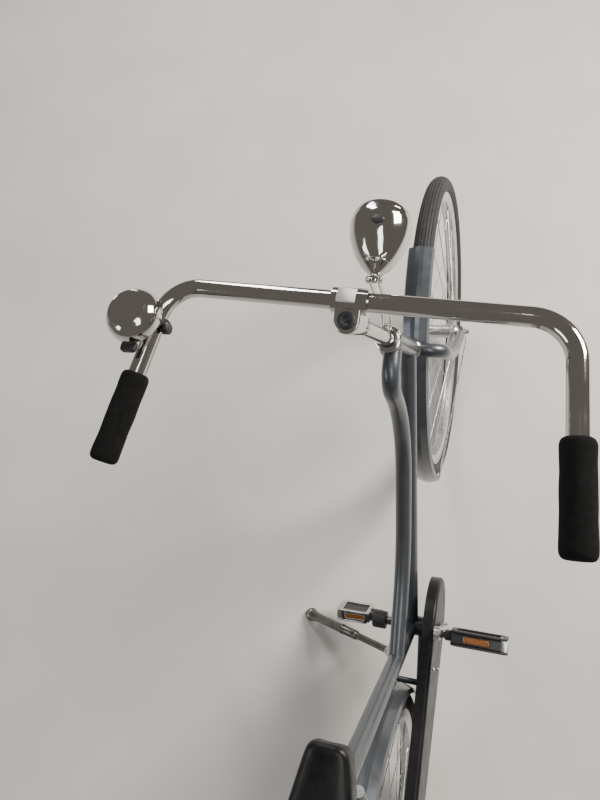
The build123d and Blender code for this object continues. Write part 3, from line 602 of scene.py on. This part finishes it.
# %% The saddle's rings
saddle_nose = Vector((307.1, 0, 886.0))
saddle_plan = [(0, 22.5, 2.0, -27), (6, 25.5, 3.4, -33), (13, 28.0, 1.6, -37), (24, 30.5, 0.4, -39),
               (43, 34.5, 0.2, -40), (67, 39.0, 0.2, -41), (95, 45.5, 0.0, -42),
               (125, 57.0, 0.0, -43), (155, 75.0, 2.0, -45), (185, 92.5, 6.0, -47),
               (212, 101.0, 10.0, -48), (236, 100.0, 12.5, -48), (252, 91.0, 12.0, -46),
               (262, 74.0, 9.0, -42)]
rim_turns = [90, 74, 60, 47, 35, 24, 12, 0]


def saddle_ring(behind, half, top, base, shrink=1.0):
    waist = top - 17.0
    ring = []
    for turn in rim_turns:
        across = half * abs(cos(radians(turn))) ** 0.62
        rise = (top - waist) * sin(radians(turn)) ** 0.62 if turn else 0.0
        ring.append((across, waist + rise))
    ring[0] = (0.0, top)
    floor_height = -24.0 if 42 < behind < 250 else base + 7
    skirt = [(half * 0.995, waist - 7), (half * 0.985, base + 5), (half * 0.95, base),
             (half * 0.90, base - 0.5), (half * 0.86, base + 4), (half * 0.84, floor_height - 1),
             (half * 0.78, floor_height), (half * 0.40, floor_height), (0, floor_height)]
    ring += skirt
    middle = (top + base) / 2
    return [(-behind, y * shrink, middle + (z - middle) * shrink) for y, z in ring]


print("saddle rings", len(saddle_plan))

# %% The padded saddle
rings = [saddle_ring(*saddle_plan[0], shrink=0.55), saddle_ring(*saddle_plan[0], shrink=0.9)]
rings += [saddle_ring(*station) for station in saddle_plan[1:-1]]
rings += [saddle_ring(*saddle_plan[-1], shrink=0.93), saddle_ring(*saddle_plan[-1], shrink=0.6)]
rings[0] = [(x + 0.8, y, z) for x, y, z in rings[0]]
rings[-1] = [(x - 1.2, y, z) for x, y, z in rings[-1]]
points = []
for ring in rings:
    loop = ring + [(x, -y, z) for x, y, z in ring[-2:0:-1]]
    points += [saddle_nose + Vector(spot) for spot in loop]
width = len(loop)
faces = skin(len(rings), width)
faces.append(list(range(width))[::-1])
faces.append([(len(rings) - 1) * width + step for step in range(width)])
saddle_mesh = mesh_from("padded_saddle", points, faces)
saddle_piece = place_mesh("padded_saddle", saddle_mesh, vinyl, "frame")
smooth = saddle_piece.modifiers.new("supple", "SUBSURF")
smooth.levels = smooth.render_levels = 2
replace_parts(saddle_piece, "saddle")
print("saddle", len(saddle_mesh.polygons), "faces before subdivision")

# %% [markdown]
# The grips are thick foam sleeves, pushed over the bar. A point on the bar is worked out from
# the steering axis and the bar's two small slopes, then twisted as the stem is. Foam is never
# quite even, so the spun outline is swelled a little by a slow wave, and both ends are round.

# %% Points along the handlebar
head_angle = radians(66.7)
fork_offset = 70.8
stem_top, clamp_ahead = 817.0, 23.0
corner_out, bar_fall, bar_flare = 234.7, radians(7.1), radians(6.4)
bar_twist = radians(-4.9)
up_axis = Vector((-cos(head_angle), 0, sin(head_angle)))
ahead_axis = Vector((sin(head_angle), 0, cos(head_angle)))
axis_foot = front_axle - ahead_axis * fork_offset


def steering(height, ahead=0.0, to_left=0.0):
    return axis_foot + up_axis * height + ahead_axis * ahead + left_way * to_left


def bar_point(side, beyond):
    back = Vector((-cos(bar_fall) * cos(bar_flare), side * sin(bar_flare),
                   -sin(bar_fall) * cos(bar_flare)))
    spot = steering(stem_top, clamp_ahead, side * corner_out) + back * beyond
    return axis_foot + Matrix.Rotation(bar_twist, 3, up_axis) @ (spot - axis_foot)


print("left corner", bar_point(1, 0), "right corner", bar_point(-1, 0))

# %% Foam grips
grip_start, grip_length, grip_radius = 119.0, 114.0, 17.0


def foam_wave(along, turn):
    fade = min(1.0, along / 12, (grip_length - along) / 12)
    return fade * (0.22 * sin(along * 0.13 + 1.0) + 0.16 * sin(2 * turn + along * 0.06)
                   + 0.10 * sin(3 * turn - along * 0.21))


grip_outline = [(5, 0), (5, 11.0), (0, 11.7), (0.2, 13.2), (1.6, 15.2), (4.0, 16.4)]
grip_outline += [(along, grip_radius) for along in range(7, 108, 4)]
grip_outline += [(109.5, 16.5), (112.2, 14.8), (113.6, 12.0), (114.0, 8.0), (114.0, 0)]
for side, name in sides:
    start = bar_point(side, grip_start)
    way = bar_point(side, grip_start + 10) - start
    piece = spun("foam_grip_" + name, grip_outline, start, way, foam, "steering", 40, foam_wave)
    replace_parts(piece, "grip_" + name)
    print(piece.name, len(piece.data.polygons), "faces")

# %% [markdown]
# Many small pieces are either a plate cut from an outline or a wire bent through a few
# points. A filled curve with a bevel makes the first, with softened edges and real holes, and
# a round curve makes the second. Both become plain meshes on the bicycle at once.

# %% Plates, straps and wires
def placed_curve(name, curve, material, body, where=None):
    holder = put(name + "_curve", curve)
    view = bpy.context.evaluated_depsgraph_get()
    mesh = bpy.data.meshes.new_from_object(holder.evaluated_get(view))
    bpy.data.objects.remove(holder)
    mesh.name = name
    mend(mesh, 0.001)
    mesh.set_sharp_from_angle(angle=radians(35))
    return place_mesh(name, mesh, material, body, where)


def cut(name, loops, thickness, bevel, material, body, where):
    flat = bpy.data.curves.new(name, "CURVE")
    flat.dimensions = "2D"
    flat.fill_mode = "BOTH"
    flat.extrude = thickness / 2 - bevel
    flat.bevel_depth = bevel
    flat.bevel_resolution = 2
    flat.offset = -bevel
    for loop in loops:
        line = flat.splines.new("POLY")
        line.points.add(len(loop) - 1)
        for point, (x, y) in zip(line.points, loop):
            point.co = (x, y, 0, 1)
        line.use_cyclic_u = True
    return placed_curve(name, flat, material, body, where)


def bent(name, route, radius, material, body):
    curve = bpy.data.curves.new(name, "CURVE")
    curve.dimensions = "3D"
    curve.bevel_depth = radius
    curve.bevel_resolution = 3
    curve.use_fill_caps = True
    curve.resolution_u = 8
    line = curve.splines.new("NURBS")
    line.points.add(len(route) - 1)
    for point, spot in zip(line.points, route):
        point.co = (*spot, 1)
    line.order_u = 3
    line.use_endpoint_u = True
    return placed_curve(name, curve, material, body)


def rounded_box(width, depth, radius):
    loop = []
    for quarter, (right, top) in enumerate(((1, 1), (-1, 1), (-1, -1), (1, -1))):
        for step in range(7):
            turn = pi / 2 * (quarter + step / 6)
            loop.append((right * (width / 2 - radius) + radius * cos(turn),
                         top * (depth / 2 - radius) + radius * sin(turn)))
    return loop


def strap_outline(route, half):
    """A strap along a flat route, rounded at both ends."""
    route = [Vector(spot) for spot in route]
    loop, back = [], []
    for before, spot, after in zip(route[:1] + route, route, route[1:] + route[-1:]):
        run = (after - before).normalized()
        across = Vector((-run.y, run.x)) * half
        loop.append(spot + across)
        back.append(spot - across)
    tip, heel = [[end + Matrix.Rotation(radians(90 - a), 2) @ (end - inner).normalized() * half
                  for a in range(20, 180, 20)]
                 for end, inner in ((route[-1], route[-2]), (route[0], route[1]))]
    return loop + tip + back[::-1] + heel


def eased(points, steps=5):
    """A smooth line through (along, radius) points."""
    line = []
    padded = [points[0]] + list(points) + [points[-1]]
    for one, two, three, four in zip(padded, padded[1:], padded[2:], padded[3:]):
        for step in range(steps):
            t = step / steps
            line.append(tuple(0.5 * (2 * b + (c - a) * t + (2 * a - 5 * b + 4 * c - d) * t * t
                                     + (3 * b - a - 3 * c + d) * t ** 3)
                              for a, b, c, d in zip(one, two, three, four)))
    return line + [points[-1]]


def facing_plane(origin, across, up):
    across, up = Vector(across).normalized(), Vector(up).normalized()
    turn = Matrix((across, up, across.cross(up))).transposed().to_4x4()
    return Matrix.Translation(origin) @ turn


print("plates and wires ready")

# %% [markdown]
# The headlamp is a polished egg: a rolled rim, a fat belly and a tail that draws in to a lug.
# Its profile is a smooth line through a few widths, spun about the lamp's own axis, with a
# parabolic reflector turned inside it behind the glass.

# %% Headlamp shell and reflector
lamp_drop, lamp_reach = 134.0, 105.0
lamp_at = steering(stem_top - lamp_drop, clamp_ahead + lamp_reach)
lamp_way = (ahead_axis * 0.95 - up_axis * 0.31).normalized()
lamp_up = lamp_way.cross(left_way)
lamp_front = lamp_at + lamp_way * 34.0
bowl = [(31.0 - 30.0 * (radius / 33.4) ** 2, radius) for radius in (0, 6, 12, 18, 24, 29, 33.4)]
rim = [(0.6, 34.2), (0.0, 35.4), (2.0, 36.9), (5.0, 38.5), (9.0, 39.7), (9.4, 38.9), (9.9, 39.7)]
egg = eased([(9.9, 39.7), (20, 41.6), (36, 40.0), (48, 36.6), (57, 33.0), (68, 27.4), (78, 20.2),
             (86, 12.4), (91, 6.4), (94, 4.6)])
tail = [(100.0, 4.6), (100.6, 4.0), (100.6, 0)]
egg_lamp = spun("egg_lamp", bowl + rim + egg + tail, lamp_front, -lamp_way, chrome, "steering", 56,
                sharp=34)
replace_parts(egg_lamp, "lamp_shell")
print(egg_lamp.name, len(egg_lamp.data.polygons), "faces")

# %% Lamp glass, bulb, tail ring and switch
dome = [(0.0, 0), (0.0, 33.3), (3.0, 33.3)] + eased([(3.2, 33.0), (6.2, 22.0), (7.6, 10.0), (8, 0)], 4)
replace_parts(spun("domed_glass", dome, lamp_front - lamp_way * 4.5, lamp_way, glass, "steering", 48),
            "lamp_lens")
bulb_line = [(0, 0), (0, 4.2), (8, 4.2), (8.5, 5.5), (14, 6.2), (19, 4.5), (21.5, 0)]
spun("lamp_bulb", bulb_line, lamp_front - lamp_way * 29, lamp_way, glass, "steering", 20)
ring_line = [(0, 19.6), (0.2, 21.4), (1.2, 21.7), (2.2, 20.6), (2.3, 18.6)]
spun("lamp_tail_ring", ring_line, lamp_front - lamp_way * 75.6, -lamp_way, chrome, "steering", 40)
ellipse = [(8.2 * cos(radians(a)), 6.0 * sin(radians(a))) for a in range(0, 360, 12)]
switch_at = lamp_front - lamp_way * 33 + lamp_up * 40.4 - left_way * 5
cut("lamp_switch", [ellipse], 4.4, 1.4, moulded, "steering",
    facing_plane(switch_at, left_way, lamp_way))
print("lamp glass, bulb, ring and switch")

# %% Lamp straps on the headset
lamp_tail = lamp_front - lamp_way * 97.0
low, knee = steering(601.5, 17.0), steering(613.0, 34.0)
origin = Vector((low.x, 0, low.z))
route = [(spot.x - origin.x, spot.z - origin.z) for spot in (low, knee, lamp_tail)]
nut_line = [(0, 0), (0, 5.0), (3.2, 5.0), (4.2, 4.2), (4.2, 0)]
for side, name in sides:
    strap_place = facing_plane(origin + left_way * side * 5.6, (1, 0, 0), (0, 0, 1))
    piece = cut("lamp_strap_" + name, [strap_outline(route, 4.5)], 2.2, 0.5, chrome, "steering",
                strap_place)
    if name == "left":
        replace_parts(piece, "lamp_bracket")
    spun("strap_nut_" + name, nut_line, lamp_tail + left_way * side * 6.6, left_way * side, plated,
         "steering", 6)
ring_line = [(0, 13.0), (0, 19.5), (0.5, 20), (2.5, 20), (3, 19.5), (3, 13.0)]
spun("headset_ring", ring_line, steering(595.5), up_axis, chrome, "steering", 40)
spacer_line = [(0, 0), (0, 5.6), (9.6, 5.6), (9.6, 0)]
spun("strap_spacer", spacer_line, low - left_way * 4.8, left_way, plated, "steering", 20)
print("straps from", low, "to", lamp_tail)

# %% [markdown]
# The bell is a wide chromed cap with a flat mirror on top. A thumb lever reaches back from
# under its rim, and a knurled clamp knob stands beside the bar.

# %% Bell
bell_spot = bar_point(1, 52.0)
bell_at = bell_spot + Vector((-6.0, 13.0, 23.4))
cap = eased([(0, 35.0), (5, 35.0), (10, 34.3), (15, 32.6), (20, 29.2), (23.6, 25.4)], 4)
cap = [(1.5, 0), (1.5, 33.6), (0, 33.8)] + cap + [(24.4, 24.6), (23.9, 24.0), (24.2, 12), (24.4, 0)]
bell = spun("bell_cap", cap, bell_at, (0, 0, 1), chrome, "steering", 64, sharp=30)
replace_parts(bell, "bell_dome")
lever_place = facing_plane(bell_at + Vector((-36.0, 3.0, -6.0)), (1, 0, 0), (0, 1, 0))
cut("bell_lever", [rounded_box(14, 21, 5)], 7.0, 1.6, moulded, "steering", lever_place)
stalk = [bell_at + Vector(step) for step in ((-32, 0, -7), (-22, -3, -6), (-14, -5, -3))]
bent("bell_stalk", stalk, 2.6, moulded, "steering")
spun("bell_knob", [(0, 0), (0, 6.5), (1, 7.5), (8, 7.5), (9, 6.5), (9, 0)],
     bell_spot + Vector((-8, -13.0, 2)), (0, -1, 0), moulded, "steering", 20,
     lambda along, turn: 0.35 * cos(10 * turn))
print("bell", len(bell.data.polygons), "faces")

# %% [markdown]
# The stem's head is one chromed casting, U-shaped from above: it wraps the quill behind and
# runs into the handlebar clamp ahead. A black plug closes the bolt's recess.

# %% Stem head, plug and blank label
bar_ahead = ahead_axis * cos(bar_twist) + left_way * sin(bar_twist)
bar_left = left_way * cos(bar_twist) - ahead_axis * sin(bar_twist)
head_half = 15.5
head = [(head_half * cos(radians(a)), head_half * sin(radians(a))) for a in range(90, 271, 12)]
head += [(clamp_ahead, -head_half), (clamp_ahead, head_half)]
cut("stem_head", [head], 45.0, 2.0, chrome, "steering",
    facing_plane(steering(805.5), bar_ahead, up_axis.cross(bar_ahead)))
spun("stem_neck", [(0, 11.4), (22, 15.2), (23, 15.2)], steering(761.0), up_axis, chrome,
     "steering", 40)
plug_line = [(0, 0), (0, 10.4), (0.9, 10.4), (1.8, 9.4), (2.0, 4.4), (0.8, 4.0), (0.6, 0)]
spun("stem_plug", plug_line, steering(827.9), up_axis, moulded, "steering", 36)
label_radius, label_low, label_high = 15.35, -8, 14
clamp_at = steering(stem_top) + bar_ahead * clamp_ahead
out = (Vector((0, 0, 1)) - bar_left * bar_left.z).normalized()
aside = bar_left.cross(out)
points = []
for angle in range(-36, 37, 9):
    turn = radians(angle)
    for across in (label_low, label_high):
        points.append(clamp_at + (out * cos(turn) + aside * sin(turn)) * label_radius
                      + bar_left * across)
faces = [(row, row + 1, row + 3, row + 2) for row in range(0, len(points) - 2, 2)]
label = finish("blank_label", (0.72, 0.72, 0.70), roughness=0.55)
patches(label, 300.0, 4.0, (0.4, 0.8), (0.74, 0.74, 0.72), (0.60, 0.59, 0.56))
label_piece = place_mesh("blank_label", mesh_from("blank_label", points, faces), label, "steering")
thick = label_piece.modifiers.new("paper", "SOLIDIFY")
thick.thickness = 0.0002
print("stem head and plug")

# %% [markdown]
# Each pedal is a black core held between two tread loops, with an outer end block, a ribbed
# dust cap towards the crank and an amber reflector let into each end face. Both pedals have
# polished loops. On the right pedal they are drawn black, which is painted shade. A pedal
# hangs at its own angle, so all of it is drawn on a plane tilted about its spindle. The left
# crank has a ribbed cap over its boss.

# %% Pedals
crank_turn, crank_length = radians(94.4), 170.0
arm = Vector((cos(crank_turn), 0, sin(crank_turn))) * crank_length
left_face, right_face = 74.4, 76.7
eyes = {1: bracket - arm + left_way * left_face, -1: bracket + arm - left_way * right_face}
tilts = {1: radians(26), -1: radians(8)}


def pedal_plate(side, name, loops, thickness, bevel, material, beyond, local=Matrix()):
    """A plate on a pedal, so far beyond the crank arm's outer face along the spindle."""
    tilt, word = tilts[side], dict(sides)[side]
    place = facing_plane(eyes[side] + left_way * side * beyond, (cos(tilt), 0, sin(tilt)),
                         (-sin(tilt), 0, cos(tilt)))
    return cut(name + "_" + word, loops, thickness, bevel, material, "pedal_" + word, place @ local)


def ribbed(first, pitch, count, size, depth, width, groove_end):
    line = []
    for rib in range(count):
        at = first + pitch * rib
        line += [(at, size), (at + width, size), (at + width + 0.4, size - depth),
                 (at + groove_end, size - depth)]
    return line


for side, name in sides[::-1]:
    left = side > 0
    inner, outer = (45, 126) if left else (19, 116)
    length, middle = outer - inner, (outer + inner) / 2
    # The right pedal's black tread loops are painted shade on loops that are polished like the left's.
    metals = (chrome, chrome, alloy) if left else (moulded, alloy, moulded)
    tread_metal_shaded_right, block_metal, frame_metal = metals
    tread = [rounded_box(length, 64, 13), rounded_box(length - 18, 46, 8)[::-1]]
    for ahead, end in ((-1, "back"), (1, "front")):
        stand_up = Matrix.Translation((ahead * 11.4, 0, 0)) @ Matrix.Rotation(pi / 2, 4, "Y")
        piece = pedal_plate(side, "pedal_tread_" + end, tread, 3.3, 0.7, tread_metal_shaded_right, middle, stand_up)
        if end == "front":
            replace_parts(piece, "pedal_cage_" + name)
    core = pedal_plate(side, "pedal_core", [rounded_box(19.2, 57, 2.5)], length - 15, 1.0, moulded,
                       middle - 5)
    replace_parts(core, "pedal_body_" + name)
    pedal_plate(side, "pedal_inner_plate", [rounded_box(23.5, 42, 3)], 3.0, 0.6, moulded, inner + 1.5)
    pedal_plate(side, "pedal_end_block", [rounded_box(23.5, 50, 4)], 13.0, 1.8, block_metal,
                outer - 7.0)
    size, begin, ribs = (15.0, 15.0, 7) if left else (9.6, 7.0, 2)
    cap_line = [(0, 5.4), (0, size - 1.8), (3, size - 0.8)]
    cap_line += ribbed(3.6, 4.0, ribs, size, 0.9, 2.2, 3.4)
    cap_line += [(3.5 + 4 * ribs, size), (4.5 + 4 * ribs, size - 2)]
    spun("pedal_cap_" + name, cap_line, eyes[side] + left_way * side * begin, left_way * side,
         moulded, "pedal_" + name)
    lens = rounded_box(10.5, 44, 1.5)
    for up, end in ((-1, "base"), (1, "top")):
        level = Matrix.Translation((0, up * 28.6, 0)) @ Matrix.Rotation(pi / 2, 4, "X")
        pedal_plate(side, "pedal_lens_" + end, [lens], 2.4, 0.5, amber, middle - 5, level)
        pedal_plate(side, "pedal_lens_frame_" + end, [rounded_box(13.5, 49, 2), lens[::-1]], 2.6, 0.5,
                    frame_metal, middle - 5, level)
boss = [(0, 9.0), (0.4, 17.0)] + ribbed(1.0, 4.2, 6, 18.2, 1.0, 2.4, 3.7)
boss += [(26.2, 18.2), (28.6, 16.8), (29.0, 12.0), (28.4, 0)]
spun("crank_cap_left", boss, bracket + left_way * 52.0, left_way, moulded, "crankset", 40)
print("pedals at", eyes[1], "and", eyes[-1])

# %% [markdown]
# The side stand's leg slides in a thicker sleeve, which flares at the foot. The foot itself is
# a turned dark disc with a lighter plated face on top.

# %% Stand sleeve and foot
stand_pivot = Vector((411.0, 42.5, 236.0))
leg_end = Vector((462.0, 281.8, 69.3))
leg_way = (stand_pivot - leg_end).normalized()
clip_at, sleeve_end = [(stand_pivot - leg_end).length * share for share in (0.42, 0.6)]
sleeve_line = [(2, 9.0), (2.5, 13.0), (8, 13.6), (20, 11.6), (34, 10.6), (clip_at, 10.5),
               (clip_at + 0.4, 11.4), (clip_at + 6, 11.4), (clip_at + 6.4, 10.5),
               (sleeve_end, 10.5), (sleeve_end + 1, 10.2), (sleeve_end + 6, 8.0), (sleeve_end + 6.5, 7.3)]
spun("stand_sleeve", sleeve_line, leg_end, leg_way, dark_steel, "stand", 36)
floor_way = Vector((0, -sin(lean), cos(lean)))
foot_at = leg_end - floor_way * 10.0
dish = [(0, 0), (0.1, 14.4), (1.6, 15.6), (6.0, 16.0), (8.4, 15.4), (9.4, 14.0), (8.8, 12.4), (8.6, 0)]
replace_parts(spun("stand_dish", dish, foot_at, floor_way, dark_steel, "stand", 40), "stand_foot")
face = [(8.4, 0), (8.5, 12.3), (9.6, 12.1), (10.6, 10.8), (11.0, 7.0), (11.2, 0)]
spun("stand_face", face, foot_at, floor_way, plated, "stand", 40)
print("sleeve length", round(sleeve_end))

# %% [markdown]
# A coil spring is one more thing that a rule makes best: a spiral with so many turns, such a
# radius and such a height, swept with a round wire. One tree makes both saddle springs, and
# each stands between two pressed cups.

# %% Coil springs
spring_tree, ends, node = new_tree("coil_spring", turns=4.0, radius=12.4, height=50.0, wire=2.6)
coil = node("GeometryNodeCurveSpiral",
            {"Resolution": 22, "Rotations": ends["turns"], "Start Radius": ends["radius"],
             "End Radius": ends["radius"], "Height": ends["height"]})
wire_ring = node("GeometryNodeCurvePrimitiveCircle", {"Resolution": 10, "Radius": ends["wire"]})
coiled = node("GeometryNodeCurveToMesh", {0: coil, 1: wire_ring, "Fill Caps": True})
close_tree(spring_tree, coiled, chrome)
saddle_under = saddle_nose + Vector((-208, 0, -24.6))
spring_out = 46
cup_line = [(0, 0), (0, 15.4), (1.6, 15.4), (1.6, 0)]
for side, name in sides:
    mesh = grown("saddle_spring_" + name, spring_tree)
    mesh.shade_smooth()
    centre = saddle_under + left_way * side * spring_out
    place_mesh("saddle_spring_" + name, mesh, chrome, "frame",
               Matrix.Translation(centre + Vector((0, 0, -53))))
    for number, level in ((1, -56.0), (0, -1.6)):
        spun("spring_cup_%s_%d" % (name, number), cup_line, centre + Vector((0, 0, level)), (0, 0, 1),
             plated, "frame")
print("springs under the saddle")

# %% [markdown]
# Two rails of bent wire run from the saddle's nose through the clamp to the springs' feet. A
# pair of knurled jaws, a bolt and two nuts hold them to the seat post.

# %% Saddle rails and clamp
seat_clamp = Vector((212.1, 0, 850.1))
nose_bar = saddle_nose + Vector((-50, 0, -28.0))
rear_bar = saddle_under + Vector((0, 0, -59.6))
jaw_line = [(0, 0), (0, 10), (1, 11), (15, 11), (16, 10), (16, 0)]
nut_line = [(0, 0), (0, 8.2), (6, 8.2), (7.5, 6.8), (7.5, 0)]
for side, name in sides:
    foot = rear_bar + left_way * side * spring_out
    route = [nose_bar + Vector((0, side * 10, 0)), Vector((236, side * 21, 849)),
             Vector((188, side * 22, 849)), foot + Vector((36, -side * 10, 0)), foot,
             foot + Vector((-4, 0, 0))]
    piece = bent("saddle_rail_" + name, route, 3.5, chrome, "frame")
    if name == "left":
        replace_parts(piece, "saddle_frame")
    spun("saddle_jaw_" + name, jaw_line, seat_clamp + left_way * side * 13, left_way * side, plated,
         "frame", 24, lambda along, turn: 0.3 * cos(12 * turn))
    spun("saddle_nut_" + name, nut_line, seat_clamp + left_way * side * 29, left_way * side, plated,
         "frame", 6)
for name, middle, half, radius, metal in (("saddle_nose_bar", nose_bar, 16, 3.5, chrome),
                                          ("saddle_clamp_bolt", seat_clamp, 30, 4.0, plated),
                                          ("saddle_rear_bar", rear_bar, spring_out, 3.2, chrome)):
    bent(name, [middle + left_way * step * half for step in (-1, 0, 1)], radius, metal, "frame")
print("rails under the saddle")

# %% [markdown]
# Screw heads hold the two parts of the chain case, and bright rings mark the joints of the
# headset. The three points where screws sit are typed, and the tree puts one low round head
# on each, facing outward.

# %% Chain case screws
screw_tree, ends, node = new_tree("pan_heads", head=4.2, height=2.4)
pan = node("GeometryNodeMeshCone", {"Vertices": 20, "Radius Bottom": ends["head"],
                                    "Radius Top": 2.6, "Depth": ends["height"]})
pans = node("GeometryNodeInstanceOnPoints", {"Points": ends["Geometry"], "Instance": pan})
close_tree(screw_tree, pans, plated)
seats = bpy.data.meshes.new("screw_seats")
seats.from_pydata([(395, 344, 0), (395, 244, 0), (110, 365, 0)], [], [])
mesh = grown("case_screws", screw_tree, seats)
case_face = facing_plane((0, -58.9, 0), (1, 0, 0), (0, 0, 1))
place_mesh("case_screws", mesh, plated, "frame", case_face)
print("case screws", len(mesh.polygons), "faces")

# %% Headset rings
edge = [(0, -0.9), (0.3, -0.1), (1.1, 0), (1.9, -0.1), (2.2, -0.9)]
for height, size, body in ((584.5, 17.6, "steering"), (392.0, 18.4, "frame"), (402.0, 17.8, "frame")):
    spun("headset_edge_%d" % height, [(along, size + step) for along, step in edge],
         steering(height), up_axis, chrome, body, 40)
print("rings")

# %% [markdown]
# Spoke nipples sit all the way round a rim, one rule for thirty-six of them. The tree puts
# points on a circle, turns a small tapered nipple to face the hub at each, and steps it to
# the left or right of the middle in turn, as the spokes do.

# %% Spoke nipples
nipple_tree, ends, node = new_tree("nipple_ring", count=36, rim_foot=297.0, sideways=3.0)
ring = node("GeometryNodeMeshCircle", {"Vertices": ends["count"], "Radius": ends["rim_foot"]})
number = node("GeometryNodeInputIndex")
odd = node("ShaderNodeMath", {0: number, 1: 2.0}, operation="MODULO")
swing = node("ShaderNodeMath", {0: odd, 1: 2.0, 2: -1.0}, operation="MULTIPLY_ADD")
step = node("ShaderNodeMath", {0: swing, 1: ends["sideways"]}, operation="MULTIPLY")
shift = node("ShaderNodeCombineXYZ", {"Z": step})
moved = node("GeometryNodeSetPosition", {"Geometry": ring, "Offset": shift})
where = node("GeometryNodeInputPosition")
flat = node("ShaderNodeVectorMath", {0: where, 1: (-1, -1, 0)}, operation="MULTIPLY")
facing = node("FunctionNodeAlignRotationToVector", {"Vector": flat}, axis="Z")
cone = node("GeometryNodeMeshCone", {"Vertices": 8, "Radius Top": 1.3, "Radius Bottom": 2.2,
                                     "Depth": 9.0})
placed = node("GeometryNodeInstanceOnPoints",
              {"Points": moved, "Instance": cone, "Rotation": facing})
close_tree(nipple_tree, placed, plated)
for end, axle in wheels:
    mesh = grown(end + "_nipples", nipple_tree, sideways=-3.0)
    place_mesh(end + "_nipples", mesh, plated, end + "_wheel", Matrix.Translation(axle) @ on_edge)
    print(end, "nipples", len(mesh.polygons), "faces")
